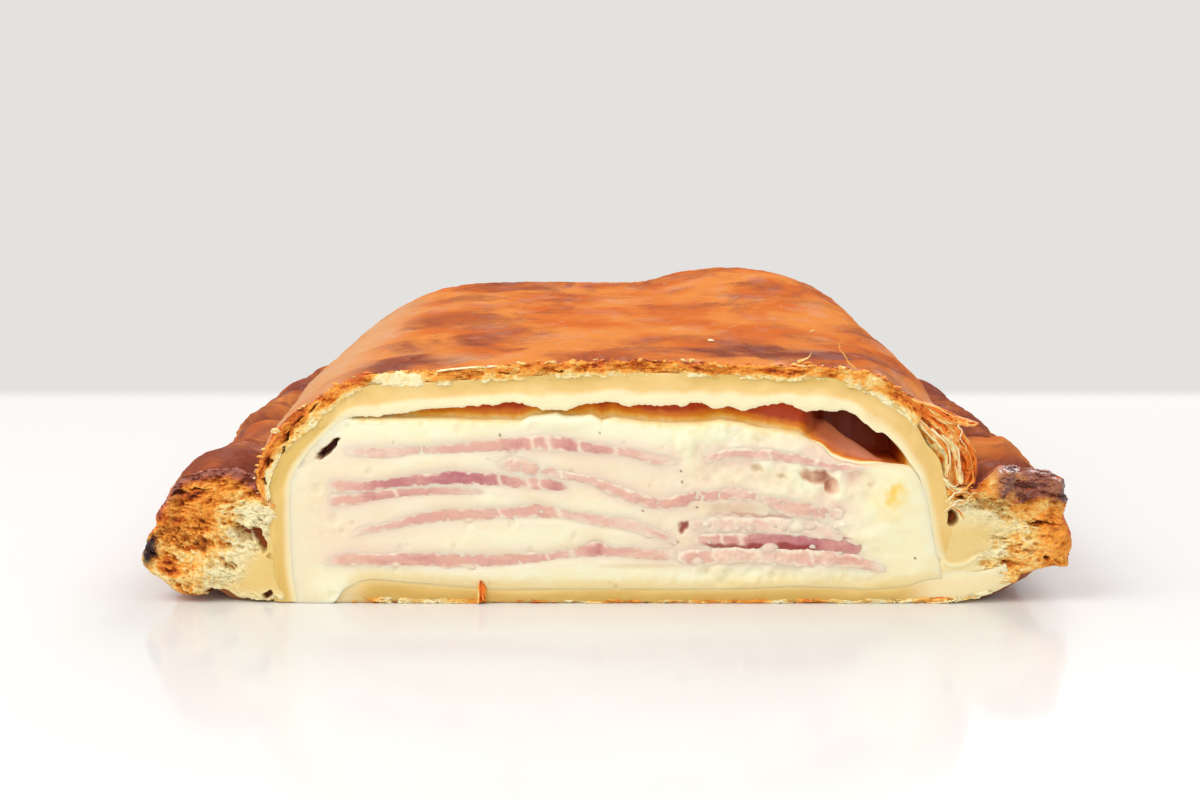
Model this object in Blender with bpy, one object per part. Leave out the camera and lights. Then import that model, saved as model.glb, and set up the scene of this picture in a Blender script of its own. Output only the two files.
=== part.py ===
"""A puff pastry parcel of ham and cheese sauce, cut straight across at its front end.

A flat base sheet carries the filling: one mass of set cheese sauce with ten slices of ham in it, laid in
four layers. A domed lid covers the filling, and the edges of both sheets are pressed together into a thick
crimped rim along the two sides and round the uncut back end.

X runs across the parcel, Y from the cut face to the back end, and Z up from the table. The origin is under
the middle of the parcel. Sizes are in millimetres, and MM turns them into metres.
"""

import math

import bmesh
import bpy
import numpy as np

MM = 0.001
WELD = 0.00001
NEAR_ZERO = 1e-9
BEND_SAMPLES = 721

# Overall size, over the rims
WIDTH = 190.0
LENGTH = 250.0
CUT_Y = -LENGTH / 2
BACK_Y = LENGTH / 2

# The rim: its centre line is a U in plan, two straight sides and a superellipse round the back end
RIM_REACH = 11.5
RIM_HALF_WIDTH = WIDTH / 2 - RIM_REACH
RIM_BACK_Y = BACK_Y - RIM_REACH
BEND_DEPTH = 76.0
BEND_START_Y = RIM_BACK_Y - BEND_DEPTH
PLAN_POWER = 4.2
CRIMP_PITCH = 24.0
CRIMP_STEPS = 4
CRIMP_DEPTH = 0.16
CRIMP_UNEVEN = 0.07
# (outwards from the centre line, height above the seam) from the lid's wall, over the top, to the edge
UPPER_RIM = ((-9.8, 17.6), (-6.2, 20.4), (-1.0, 20.9), (4.5, 18.0), (9.2, 12.2), (RIM_REACH, 5.0),
             (10.7, 0.0))
# (outwards from the centre line, height above the table) from the edge, under it, to the base sheet
LOWER_RIM = ((11.0, 6.4), (8.6, 3.0), (3.0, 0.8), (-5.0, 0.0))

# The two sheets. They meet in a seam that rises outwards
GAP = 0.3
BASE_THICK = 4.2
FOOT_Z = BASE_THICK + GAP
SEAM_INNER_OUT = -11.0
SEAM_SLOPE = 0.22
LID_TOP = 49.5
LID_HALF_WIDTH = 72.5
LID_WALL = 7.5
SHOULDER_POWER = 3.7
# Share of a quarter turn, up from the foot, at which the lid's wall comes out of the rim
WALL_START = 0.13

# The ham runs back from the cut face. Each slice: the middle line across as (x, z), and its thickness
HAM_BACK_Y = 64.0
HAM_POINT_STEP = 4.0
HAM_EDGE = 3.0
HAM_SLICES = {
    "ham_1_left": (((-58.0, 8.8), (-38.0, 9.0), (-20.0, 8.9), (-1.5, 11.1), (14.0, 10.0)), 2.5),
    "ham_1_right": (((15.6, 9.0), (25.0, 9.6), (40.0, 9.4), (50.0, 8.8), (56.5, 7.4)), 2.2),
    "ham_2_left": (((-53.7, 13.9), (-39.0, 17.0), (-24.0, 18.6), (-12.0, 19.1), (-1.0, 17.2),
                    (14.6, 13.4)), 2.4),
    "ham_2_fold": (((16.8, 13.4), (30.0, 12.9), (42.0, 12.6), (51.5, 11.8)), 1.9),
    "ham_2_right": (((16.8, 16.6), (30.0, 16.4), (42.0, 15.8), (50.0, 14.9)), 2.2),
    "ham_3_fold": (((-57.4, 21.4), (-45.0, 22.3), (-33.0, 23.2), (-24.4, 22.6)), 1.5),
    "ham_3_left": (((-57.4, 24.5), (-45.0, 25.2), (-32.0, 26.2), (-18.0, 25.0), (-7.5, 23.4)), 2.2),
    "ham_3_right": (((-24.0, 29.2), (-14.0, 28.8), (-3.0, 26.2), (8.0, 21.9), (16.0, 21.3), (27.0, 22.7),
                     (38.0, 20.5), (48.4, 18.4)), 2.2),
    "ham_4_left": (((-53.5, 31.7), (-36.0, 31.9), (-18.0, 33.2), (-9.0, 33.4), (2.0, 31.7),
                    (15.6, 29.7)), 2.4),
    "ham_4_right": (((18.6, 30.7), (27.0, 30.9), (40.0, 29.0), (56.0, 26.8)), 1.8),
}

# Air under the lid: a slit across the parcel, and a pocket at its right. Both close towards the back
SLIT_X = (-51.0, 62.0)
SLIT_FLOOR_Z = 38.4
SLIT_BACK_Y = 10.0
POCKET_X = (44.5, 63.0)
POCKET_FLOOR_Z = 30.2
POCKET_BACK_Y = -50.0
AIR_CURVE = 1.6
PAST = 6.0

CRUST = ("baked_crust", (0.70, 0.25, 0.07), 0.42)
DOUGH = ("pale_dough", (0.80, 0.56, 0.24), 0.55)
SAUCE = ("cheese_sauce", (0.94, 0.86, 0.60), 0.45)
HAM = ("cooked_ham", (0.74, 0.42, 0.38), 0.40)


def clear_scene():
    for thing in list(bpy.data.objects):
        bpy.data.objects.remove(thing)


def material(finish):
    """The Principled material of that finish, made once."""
    name, colour, roughness = finish
    found = bpy.data.materials.get(name)
    if found:
        return found
    made = bpy.data.materials.new(name)
    made.use_nodes = True
    shader = made.node_tree.nodes["Principled BSDF"]
    shader.inputs["Base Color"].default_value = (*colour, 1.0)
    shader.inputs["Roughness"].default_value = roughness
    shader.inputs["Metallic"].default_value = 0.0
    return made


def solid(name, points, faces, finish=None):
    """A mesh object from points in millimetres, welded and facing out. With no finish, it is a cutter."""
    mesh = bpy.data.meshes.new(name)
    mesh.from_pydata([tuple(MM * value for value in point) for point in points], [], faces)
    work = bmesh.new()
    work.from_mesh(mesh)
    bmesh.ops.remove_doubles(work, verts=work.verts, dist=WELD)
    bmesh.ops.recalc_face_normals(work, faces=work.faces)
    work.to_mesh(mesh)
    work.free()
    made = bpy.data.objects.new(name, mesh)
    bpy.context.scene.collection.objects.link(made)
    if finish:
        mesh.materials.append(material(finish))
        mesh.shade_smooth()
        mesh.set_sharp_from_angle(angle=math.radians(40))
    else:
        made.hide_render = True
        made.display_type = "WIRE"
    return made


def change(target, operation, other):
    """Adds an exact Boolean of that kind to the target."""
    step = target.modifiers.new(f"{operation.lower()}_{other.name}", "BOOLEAN")
    step.operation = operation
    step.solver = "EXACT"
    step.object = other


def power_wave(value, power):
    """A cosine or a sine raised for a superellipse of that power, its sign kept."""
    value = np.where(np.abs(value) < NEAR_ZERO, 0.0, value)
    return np.sign(value) * np.abs(value) ** (2 / power)


def rim_line(steps_per_crimp):
    """Stations along the rim's centre line: x, y, outward x, outward y, and the place in crimps.

    The line runs back along the left side, round the back end and forward along the right side. Its
    stations lie at even steps, so that the left half mirrors the right, and places count from the
    middle of the back.
    """
    turn = np.linspace(0.0, math.pi, BEND_SAMPLES)
    bend_x = -power_wave(np.cos(turn), PLAN_POWER) * RIM_HALF_WIDTH
    bend_y = BEND_START_Y + power_wave(np.sin(turn), PLAN_POWER) * BEND_DEPTH
    x = np.concatenate([[-RIM_HALF_WIDTH], bend_x, [RIM_HALF_WIDTH]])
    y = np.concatenate([[CUT_Y], bend_y, [CUT_Y]])
    run = np.concatenate([[0.0], np.cumsum(np.hypot(np.diff(x), np.diff(y)))])
    crimps = 2 * round((run[-1] / CRIMP_PITCH - 1) / 2) + 1
    place = np.linspace(-crimps / 2, crimps / 2, crimps * steps_per_crimp + 1)
    at = (place / crimps + 0.5) * run[-1]
    x, y = np.interp(at, run, x), np.interp(at, run, y)
    out_x, out_y = -np.gradient(y), np.gradient(x)
    length = np.hypot(out_x, out_y)
    out_x, out_y = out_x / length, out_y / length
    straight = y <= BEND_START_Y
    out_x[straight], out_y[straight] = np.sign(x[straight]), 0.0
    return x, y, out_x, out_y, place


def dome_point(x, y, half_width, top_z, turn):
    """The point at that angle up a dome's side, above the station (x, y) of the rim's line.

    A dome is a superellipse across. Behind the bend's start it turns about the end of its own ridge.
    """
    reach = power_wave(math.cos(turn), SHOULDER_POWER)
    rise = power_wave(math.sin(turn), SHOULDER_POWER)
    bend = (BEND_DEPTH - RIM_HALF_WIDTH + half_width) / BEND_DEPTH
    ridge_y = min(y, BEND_START_Y)
    across = x * half_width / RIM_HALF_WIDTH
    return (across * reach, ridge_y + (y - ridge_y) * bend * reach, FOOT_Z + rise * (top_z - FOOT_Z))


def carried(name, profile, finish=None, steps_per_crimp=CRIMP_STEPS):
    """A solid whose half section is carried along the rim's line, from the left of the cut to its right.

    profile gives the points at one station, from the ridge or middle, out and round, back to the middle.
    Both halves share their middle points, and one face closes the cut.
    """
    rows = [profile(*station) for station in zip(*rim_line(steps_per_crimp))]
    count, across = len(rows), len(rows[0])
    points = [point for row in rows for point in row]
    faces = []
    for j in range(count - 1):
        near, far = j * across, (j + 1) * across
        faces += [(near + i, near + i + 1, far + i + 1, far + i) for i in range(across - 1)]
    last = (count - 1) * across
    faces.append((*range(across), *range(last + across - 2, last, -1)))
    return solid(name, points, faces, finish)


def swell(place):
    """Size of the rim at that place: full at whole numbers, pinched between them, some lumps less full."""
    pinch = 1.0 - abs(math.cos(math.pi * place)) ** 0.6
    uneven = math.sin(0.95 * place + 0.03 * place**2) ** 2
    return 1.0 - CRIMP_DEPTH * pinch - CRIMP_UNEVEN * uneven * (1.0 - pinch)


def seam_z(out):
    """Height of the seam between the two sheets, at that distance outwards from the rim's centre line."""
    return BASE_THICK + SEAM_SLOPE * max(0.0, out - SEAM_INNER_OUT)


def rim_points(outline, x, y, out_x, out_y, size, above_seam):
    """Points of a rim outline at one station, its outer part scaled to the rim's size there."""
    points = []
    for out, z in outline:
        out = out * size if out > 0 else out
        height = seam_z(out) + GAP + z * size if above_seam else z
        points.append((x + out * out_x, y + out * out_y, height))
    return points


def lid_profile(x, y, out_x, out_y, place):
    """Ridge, outer wall, rim, seam, inner wall, inner ridge."""
    wall = [
        dome_point(x, y, LID_HALF_WIDTH, LID_TOP, turn)
        for turn in np.linspace(math.pi / 2, WALL_START * math.pi / 2, 9)
    ]
    rim = rim_points(UPPER_RIM, x, y, out_x, out_y, swell(place), above_seam=True)
    seam = rim_points(((SEAM_INNER_OUT, 0.0),), x, y, out_x, out_y, 1.0, above_seam=True)
    inside = [
        dome_point(x, y, LID_HALF_WIDTH - LID_WALL, LID_TOP - LID_WALL, turn)
        for turn in np.linspace(0.0, math.pi / 2, 8)
    ]
    return [*wall, *rim, *seam, *inside]


def base_profile(x, y, out_x, out_y, place):
    """Middle of the top, seam, rim, underside, middle of the underside."""
    middle_y = min(y, BEND_START_Y)
    size = swell(place)
    edge = UPPER_RIM[-1][0]
    seam = [(out, seam_z(out * size if out > 0 else out)) for out in (SEAM_INNER_OUT, edge)]
    rim = rim_points((*seam, *LOWER_RIM), x, y, out_x, out_y, size, above_seam=False)
    return [(0.0, middle_y, BASE_THICK), *rim, (0.0, middle_y, 0.0)]


def sauce_profile(x, y, out_x, out_y, place):
    """Ridge, wall against the lid, foot, middle of the foot."""
    wall = [
        dome_point(x, y, LID_HALF_WIDTH - LID_WALL - GAP, LID_TOP - LID_WALL - GAP, turn)
        for turn in np.linspace(math.pi / 2, 0.0, 8)
    ]
    return [*wall, (0.0, min(y, BEND_START_Y), FOOT_Z)]


def straight_run(name, outlines, depths, finish=None):
    """A solid through outlines of (x, z) points, one at each depth. The first and the last are its ends."""
    rows = [[(x, y, z) for x, z in ring] for y, ring in zip(depths, outlines)]
    count, around = len(rows), len(rows[0])
    faces = []
    for j in range(count - 1):
        near, far = j * around, (j + 1) * around
        faces += [(near + i, near + (i + 1) % around, far + (i + 1) % around, far + i) for i in range(around)]
    faces += [tuple(range(around)), tuple(range((count - 1) * around, count * around))]
    return solid(name, [point for row in rows for point in row], faces, finish)


def smooth_line(points, x):
    """Height at x on a smooth curve through the (x, z) points: Hermite pieces with central slopes."""
    known_x = np.array([point[0] for point in points])
    known_z = np.array([point[1] for point in points])
    slope = np.gradient(known_z, known_x)
    i = np.clip(np.searchsorted(known_x, x) - 1, 0, len(known_x) - 2)
    span = known_x[i + 1] - known_x[i]
    t = (x - known_x[i]) / span
    low = (1 + 2 * t) * (1 - t) ** 2 * known_z[i] + t * (1 - t) ** 2 * span * slope[i]
    high = t * t * (3 - 2 * t) * known_z[i + 1] + t * t * (t - 1) * span * slope[i + 1]
    return low + high


def ham_slice(name, line, thick, grow=0.0, finish=None):
    """A slice along its middle line, thinner at both edges, run back from the cut. A cutter is grown."""
    left, right = line[0][0], line[-1][0]
    x = np.linspace(left, right, 1 + round((right - left) / HAM_POINT_STEP))
    z = smooth_line(line, x)
    edge = np.minimum(x - left, right - x)
    half = thick / 2 * np.clip(0.5 + 0.5 * edge / HAM_EDGE, 0.0, 1.0) + grow
    x[0] -= grow
    x[-1] += grow
    outline = [*zip(x, z - half), *zip(x[::-1], (z + half)[::-1])]
    front = CUT_Y - (PAST if grow else 0.0)
    return straight_run(name, (outline, outline), (front, HAM_BACK_Y + grow), finish)


def air_wedge(name, span, floor_z, back_y):
    """A cutter for air under the lid. Its floor rises from the cut face and meets the lid at back_y."""
    left, right = span
    depths = np.linspace(CUT_Y - PAST, back_y, 5)
    share = np.clip((depths - CUT_Y) / (back_y - CUT_Y), 0.0, 1.0)
    floors = floor_z + (LID_TOP - LID_WALL - floor_z) * share**AIR_CURVE
    outlines = [((left, low), (right, low), (right, LID_TOP), (left, LID_TOP)) for low in floors]
    return straight_run(name, outlines, depths)


def filling():
    """The sauce, which fills the lid up to the air under it, and the ham slices in their slots."""
    sauce = carried("cheese_sauce", sauce_profile, SAUCE, steps_per_crimp=2)
    change(sauce, "DIFFERENCE", air_wedge("slit_air", SLIT_X, SLIT_FLOOR_Z, SLIT_BACK_Y))
    change(sauce, "DIFFERENCE", air_wedge("pocket_air", POCKET_X, POCKET_FLOOR_Z, POCKET_BACK_Y))
    for name, (line, thick) in HAM_SLICES.items():
        ham_slice(name, line, thick, finish=HAM)
        change(sauce, "DIFFERENCE", ham_slice(f"{name}_slot", line, thick, grow=GAP))


def main():
    clear_scene()
    carried("pastry_base", base_profile, DOUGH)
    carried("pastry_lid", lid_profile, CRUST)
    filling()


main()
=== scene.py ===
"""The looks of a cut puff pastry parcel: flaky crust, soft dough, cheese sauce and ham.

The cut face is drawn in the photograph's 1200 x 800 pixels, about 0.2 mm each there, and on_cut turns a
drawn point into millimetres on the cut plane. All other sizes are in millimetres, and MM makes them metres.
"""

import math

import bpy
import numpy as np
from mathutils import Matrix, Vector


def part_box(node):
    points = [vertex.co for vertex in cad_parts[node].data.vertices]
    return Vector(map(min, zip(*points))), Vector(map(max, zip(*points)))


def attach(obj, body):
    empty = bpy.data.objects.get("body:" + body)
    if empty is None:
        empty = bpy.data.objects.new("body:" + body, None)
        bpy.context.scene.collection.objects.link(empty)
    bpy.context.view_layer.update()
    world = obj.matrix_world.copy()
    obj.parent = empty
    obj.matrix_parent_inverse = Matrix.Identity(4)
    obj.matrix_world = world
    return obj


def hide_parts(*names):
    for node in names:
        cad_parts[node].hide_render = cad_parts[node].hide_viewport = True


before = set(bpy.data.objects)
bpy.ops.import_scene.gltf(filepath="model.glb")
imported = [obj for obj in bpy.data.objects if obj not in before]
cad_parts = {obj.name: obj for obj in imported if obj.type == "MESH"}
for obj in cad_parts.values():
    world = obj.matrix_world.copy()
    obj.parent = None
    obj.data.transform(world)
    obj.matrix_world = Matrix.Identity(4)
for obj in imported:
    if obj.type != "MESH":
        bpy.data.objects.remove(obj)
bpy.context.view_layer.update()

MM = 0.001
LID_LOW, LID_HIGH = (np.array(corner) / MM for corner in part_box("pastry_lid"))
CUT_Y = LID_LOW[1]
BACK_Y = LID_HIGH[1]

# The camera: 60 mm lens on a 36 mm sensor, looking slightly down at the cut from 400 mm away
FRAME_WIDTH, FRAME_HEIGHT = 1200, 800
LENS, SENSOR = 60.0, 36.0
FOCAL_PX = FRAME_WIDTH * LENS / SENSOR
CAMERA_GAP = 400.0
CAMERA_HEIGHT = 102.2
CAMERA_X = -1.3
CAMERA_PITCH = math.atan(0.15)

# The crimped rim's centre line, as the CAD carries it
RIM_REACH = 11.5
RIM_HALF_WIDTH = LID_HIGH[0] - RIM_REACH
BEND_DEPTH = 76.0
BEND_START_Y = BACK_Y - RIM_REACH - BEND_DEPTH
PLAN_POWER = 4.2
LID_BACK_Y = BACK_Y - 22.5
FOOT_Z = 4.5
LID_HALF_WIDTH = 72.5
LID_CROWN_Z = 48.5
LEFT_SHOULDER, RIGHT_SHOULDER = 4.4, 6.6
VALLEY_Z = 20.0


# Random relief

def scatter(ix, iy, iz, seed):
    """A number from 0 to 1 for each whole-number cell: its bits multiplied and folded together."""
    mixed = (ix * 374761393 + iy * 668265263 + iz * 1103515245 + seed * 69069) & 0xFFFFFFFF
    mixed = ((mixed ^ (mixed >> 13)) * 1274126177) & 0xFFFFFFFF
    mixed = ((mixed ^ (mixed >> 16)) * 2246822519) & 0xFFFFFFFF
    return ((mixed ^ (mixed >> 15)) & 0xFFFFFF) / 0xFFFFFF


def grain(size, x, y, z, seed=0, octaves=3, gain=0.5):
    """Rounded relief about -1 to 1: octaves of random values on a grid, each blended by 3t^2 - 2t^3."""
    total, weight, reach = 0.0, 1.0, 0.0
    for octave in range(octaves):
        step = size / 2**octave
        cell = np.stack(np.broadcast_arrays(x / step, y / step, z / step)) + 17.31 * octave
        low = np.floor(cell).astype(np.int64)
        part = cell - low
        part = part * part * (3 - 2 * part)
        value = 0.0
        for corner in range(8):
            bits = [(corner >> axis) & 1 for axis in range(3)]
            share = 1.0
            for axis in range(3):
                share = share * (part[axis] if bits[axis] else 1 - part[axis])
            value = value + share * scatter(*(low[axis] + bits[axis] for axis in range(3)), seed + octave)
        total = total + weight * (2 * value - 1)
        reach += weight
        weight *= gain
    return 1.6 * total / reach


def pores(size, x, y, seed, chance=0.6, stretch=1.0, turn=0.0):
    """Pits from 0 to 1: in each cell of that size one round pore of random radius, 1 - (r / radius)^2 deep.

    The plane is turned by that many degrees and squeezed first, which lengthens every pore.
    """
    angle = math.radians(turn)
    u = (x * math.cos(angle) + y * math.sin(angle)) / (size * stretch)
    v = (y * math.cos(angle) - x * math.sin(angle)) / size
    low_u, low_v = np.floor(u).astype(np.int64), np.floor(v).astype(np.int64)
    depth = np.zeros(np.broadcast(u, v).shape)
    for du in (-1, 0, 1):
        for dv in (-1, 0, 1):
            cell_u, cell_v = low_u + du, low_v + dv
            centre_u = cell_u + scatter(cell_u, cell_v, 1, seed)
            centre_v = cell_v + scatter(cell_u, cell_v, 2, seed)
            radius = 0.15 + 0.45 * scatter(cell_u, cell_v, 3, seed) ** 2
            there = scatter(cell_u, cell_v, 4, seed) < chance
            near = 1 - ((u - centre_u) ** 2 + (v - centre_v) ** 2) / radius**2
            depth = np.maximum(depth, np.where(there, near, 0.0))
    return depth


def ease(low, high, value):
    """0 below low, 1 above high and 3t^2 - 2t^3 between them. With low above high it falls instead."""
    t = np.clip((value - low) / (high - low), 0.0, 1.0)
    return t * t * (3 - 2 * t)


def spot(x, y, centre, half, turn=0.0, soft=0.5):
    """1 inside an ellipse turned by that many degrees, falling to 0 at its edge over the soft share of it."""
    angle = math.radians(turn)
    u = (x - centre[0]) * math.cos(angle) + (y - centre[1]) * math.sin(angle)
    v = (y - centre[1]) * math.cos(angle) - (x - centre[0]) * math.sin(angle)
    return ease(1.0, 1.0 - soft, np.hypot(u / half[0], v / half[1]))


def spots(x, y, places):
    """The sum of several spots, each given as its strength, centre, half lengths, turn and softness."""
    return sum(strength * spot(x, y, *place) for strength, *place in places)


def power_wave(value, power):
    """A cosine or sine raised to 2 / power with its sign kept, as a superellipse needs."""
    return np.sign(value) * np.abs(value) ** (2 / power)


# Curves and grids

def along(points, count, closed=False):
    """Evenly spaced points on a smooth curve through the given ones: Hermite pieces with central slopes."""
    points = np.array(points, float)
    if closed:
        points = np.vstack([points[-2:], points, points[:3]])
    knots = np.concatenate([[0.0], np.cumsum(np.linalg.norm(np.diff(points, axis=0), axis=1))])
    slopes = np.gradient(points, knots, axis=0)
    first, last = (knots[2], knots[-3]) if closed else (knots[0], knots[-1])

    def at(where):
        """Points on the curve at those distances along the chords."""
        i = np.clip(np.searchsorted(knots, where, side="right") - 1, 0, len(knots) - 2)
        span = (knots[i + 1] - knots[i])[:, None]
        t = (where - knots[i])[:, None] / span
        low = (1 + 2 * t) * (1 - t) ** 2 * points[i] + t * (1 - t) ** 2 * span * slopes[i]
        return low + t * t * (3 - 2 * t) * points[i + 1] + t * t * (t - 1) * span * slopes[i + 1]

    fine = np.linspace(first, last, 12 * count)
    run = np.concatenate([[0.0], np.cumsum(np.linalg.norm(np.diff(at(fine), axis=0), axis=1))])
    steps = np.linspace(0.0, run[-1], count + 1)[:-1] if closed else np.linspace(0.0, run[-1], count)
    return at(np.interp(steps, run, fine))


def level(points, x):
    """Height at x on a line through the drawn points, softened over three pixels."""
    known = np.array(points, float)
    return sum(np.interp(x + shift, known[:, 0], known[:, 1]) for shift in (-3, -1.5, 0, 1.5, 3)) / 5


def warped(px, py, size, amount, seed):
    """The same place moved about by rounded relief, so that what is drawn there comes out uneven."""
    across = amount * grain(size, px, py, 0.0, seed, 3)
    down = amount * grain(size, px, py, 7.0, seed + 1, 3)
    return px + across, py + down


def build(name, vertices, quads, fans, fields, finish, nodes):
    """A smooth piece from millimetre points, four-cornered and three-cornered faces, and fields by point.

    Faces are turned outwards by the sign of the enclosed volume.
    """
    vertices = vertices * MM
    triangles = np.vstack([quads[:, :3], quads[:, [0, 2, 3]], fans])
    a, b, c = (vertices[triangles[:, corner]] for corner in range(3))
    if np.einsum("ij,ij->i", a, np.cross(b, c)).sum() < 0:
        quads, fans = quads[:, ::-1], fans[:, ::-1]
    mesh = bpy.data.meshes.new(name)
    mesh.vertices.add(len(vertices))
    mesh.vertices.foreach_set("co", vertices.ravel())
    mesh.loops.add(quads.size + fans.size)
    mesh.loops.foreach_set("vertex_index", np.concatenate([quads.ravel(), fans.ravel()]))
    sizes = np.concatenate([np.full(len(quads), 4), np.full(len(fans), 3)])
    mesh.polygons.add(len(sizes))
    mesh.polygons.foreach_set("loop_start", np.concatenate([[0], np.cumsum(sizes)[:-1]]))
    mesh.update(calc_edges=True)
    mesh.polygons.foreach_set("use_smooth", np.ones(len(sizes), bool))
    for label, values in fields.items():
        layer = mesh.attributes.new(label, "FLOAT", "POINT")
        layer.data.foreach_set("value", values.ravel().astype(np.float32))
    mesh.validate()
    mesh.materials.append(finish.material)
    piece = bpy.data.objects.new(name, mesh)
    bpy.context.scene.collection.objects.link(piece)
    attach(piece, "root")
    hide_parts(*nodes)
    return piece


def on_cut(px, py, deep=0.0):
    """Millimetres (x, y, z) of drawn points on the cut plane, set back from it by deep millimetres.

    A drawn point is a ray from the camera. It meets the cut plane where the ray's slope times the
    camera's gap is the drop from the camera's height.
    """
    z = CAMERA_HEIGHT - CAMERA_GAP * np.tan(CAMERA_PITCH + np.arctan((py - FRAME_HEIGHT / 2) / FOCAL_PX))
    ahead = CAMERA_GAP * math.cos(CAMERA_PITCH) + (CAMERA_HEIGHT - z) * math.sin(CAMERA_PITCH)
    x = CAMERA_X + (px - FRAME_WIDTH / 2) / FOCAL_PX * ahead
    x, y, z = np.broadcast_arrays(x, CUT_Y + deep, z)
    return np.stack([x, y, np.maximum(z, 0.05)], axis=-1)


def outward(points):
    """Unit normals of a grid of points: the cross product of its two directions."""
    normal = np.cross(np.gradient(points, axis=1), np.gradient(points, axis=0))
    return normal / np.maximum(np.linalg.norm(normal, axis=-1, keepdims=True), 1e-9)


def skin(name, points, finish, nodes, fields=None, ring=True):
    """A closed piece from rows of points, with fields kept as numbers on its points.

    Each row is a ring unless ring is off, and a fan closes each end. Without rings, the ends of the rows
    already meet.
    """
    rows, across = points.shape[:2]
    vertices = points.reshape(-1, 3)
    index = np.arange(rows * across).reshape(rows, across)
    right = np.roll(index, -1, axis=1) if ring else index[:, 1:]
    left = index if ring else index[:, :-1]
    quads = np.stack([left[:-1], right[:-1], right[1:], left[1:]], axis=-1).reshape(-1, 4)
    fans = np.empty((0, 3), int)
    if ring:
        vertices = np.vstack([vertices, points[0].mean(axis=0), points[-1].mean(axis=0)])
        start = np.stack([right[0], left[0], np.full(across, rows * across)], axis=-1)
        end = np.stack([left[-1], right[-1], np.full(across, rows * across + 1)], axis=-1)
        fans = np.vstack([start, end])
    spread = {}
    for label, values in (fields or {}).items():
        values = np.broadcast_to(values, (rows, across))
        spread[label] = np.append(values, [values[0].mean(), values[-1].mean()]) if ring else values
    return build(name, vertices, quads, fans, spread, finish, nodes)


# Finishes

def shade(red, green, blue):
    """A colour given as it looks, 0 to 255, turned to the light that a shader reckons in."""
    parts = np.array([red, green, blue]) / 255
    return (*np.where(parts <= 0.04045, parts / 12.92, ((parts + 0.055) / 1.055) ** 2.4), 1.0)


class Wire:
    """One shader socket, so that masks and sums are written as Python expressions."""

    def __init__(self, finish, socket):
        self.finish, self.socket = finish, socket

    def math(self, operation, *others, clamp=False):
        """This wire and the others put through one Math node."""
        settings = {"operation": operation, "use_clamp": clamp}
        return self.finish.add("ShaderNodeMath", settings, dict(enumerate((self, *others))))

    def __add__(self, other):
        return self.math("ADD", other)

    __radd__ = __add__

    def __mul__(self, other):
        return self.math("MULTIPLY", other)

    __rmul__ = __mul__

    def __sub__(self, other):
        return self.math("SUBTRACT", other)

    def __rsub__(self, other):
        return (self * -1.0).math("ADD", other)

    def clamp(self):
        """Held between 0 and 1."""
        return self.math("ADD", 0.0, clamp=True)

    def ease(self, low, high):
        """0 at low, 1 at high, smooth between them."""
        settings = {"interpolation_type": "SMOOTHSTEP"}
        return self.finish.add("ShaderNodeMapRange", settings, {0: self, 1: low, 2: high, 3: 0.0, 4: 1.0})


class Finish:
    """A material with one Principled shader, and the wires that lead to it."""

    def __init__(self, name, **constants):
        self.material = bpy.data.materials.new(name)
        self.material.use_nodes = True
        self.tree = self.material.node_tree
        self.shader = self.tree.nodes["Principled BSDF"]
        for socket, value in constants.items():
            self.shader.inputs[socket.replace("_", " ")].default_value = value

    def add(self, kind, settings=None, sockets=None, out=0):
        """A node of that kind: its settings first, then its sockets' values or links. Gives one output."""
        node = self.tree.nodes.new(kind)
        for name, value in (settings or {}).items():
            setattr(node, name, value)
        for key, value in (sockets or {}).items():
            if isinstance(value, Wire):
                self.tree.links.new(value.socket, node.inputs[key])
            else:
                node.inputs[key].default_value = value
        return Wire(self, node.outputs[out])

    def to(self, socket, wire):
        """Leads a wire to that socket of the shader."""
        self.tree.links.new(wire.socket, self.shader.inputs[socket])

    def field(self, name):
        """A number kept on the piece's points."""
        return self.add("ShaderNodeAttribute", {"attribute_name": name}, out="Fac")

    def spread(self, stretch=(1, 1, 1)):
        """Object coordinates in millimetres, each axis divided by its stretch."""
        place = self.add("ShaderNodeTexCoord", out="Object")
        factor = tuple(1 / MM / s for s in stretch)
        return self.add("ShaderNodeVectorMath", {"operation": "MULTIPLY"}, {0: place, 1: factor})

    def noise(self, size, detail=3.0, roughness=0.55, stretch=(1, 1, 1), distortion=0.0):
        """Noise from 0 to 1 whose largest lumps are about that many millimetres."""
        sockets = {"Vector": self.spread(stretch), "Scale": 1 / size, "Detail": detail,
                   "Roughness": roughness, "Distortion": distortion}
        return self.add("ShaderNodeTexNoise", None, sockets)

    def mix(self, amount, first, second):
        """The first colour where amount is 0 and the second where it is 1."""
        settings = {"data_type": "RGBA", "clamp_factor": True}
        return self.add("ShaderNodeMix", settings, {0: amount, 6: first, 7: second}, out=2)

    def bump(self, height, distance, strength=1.0):
        """Dents and lumps of that many millimetres from a wire of 0 to 1."""
        sockets = {"Height": height, "Distance": distance * MM, "Strength": strength}
        self.to("Normal", self.add("ShaderNodeBump", None, sockets))


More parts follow.
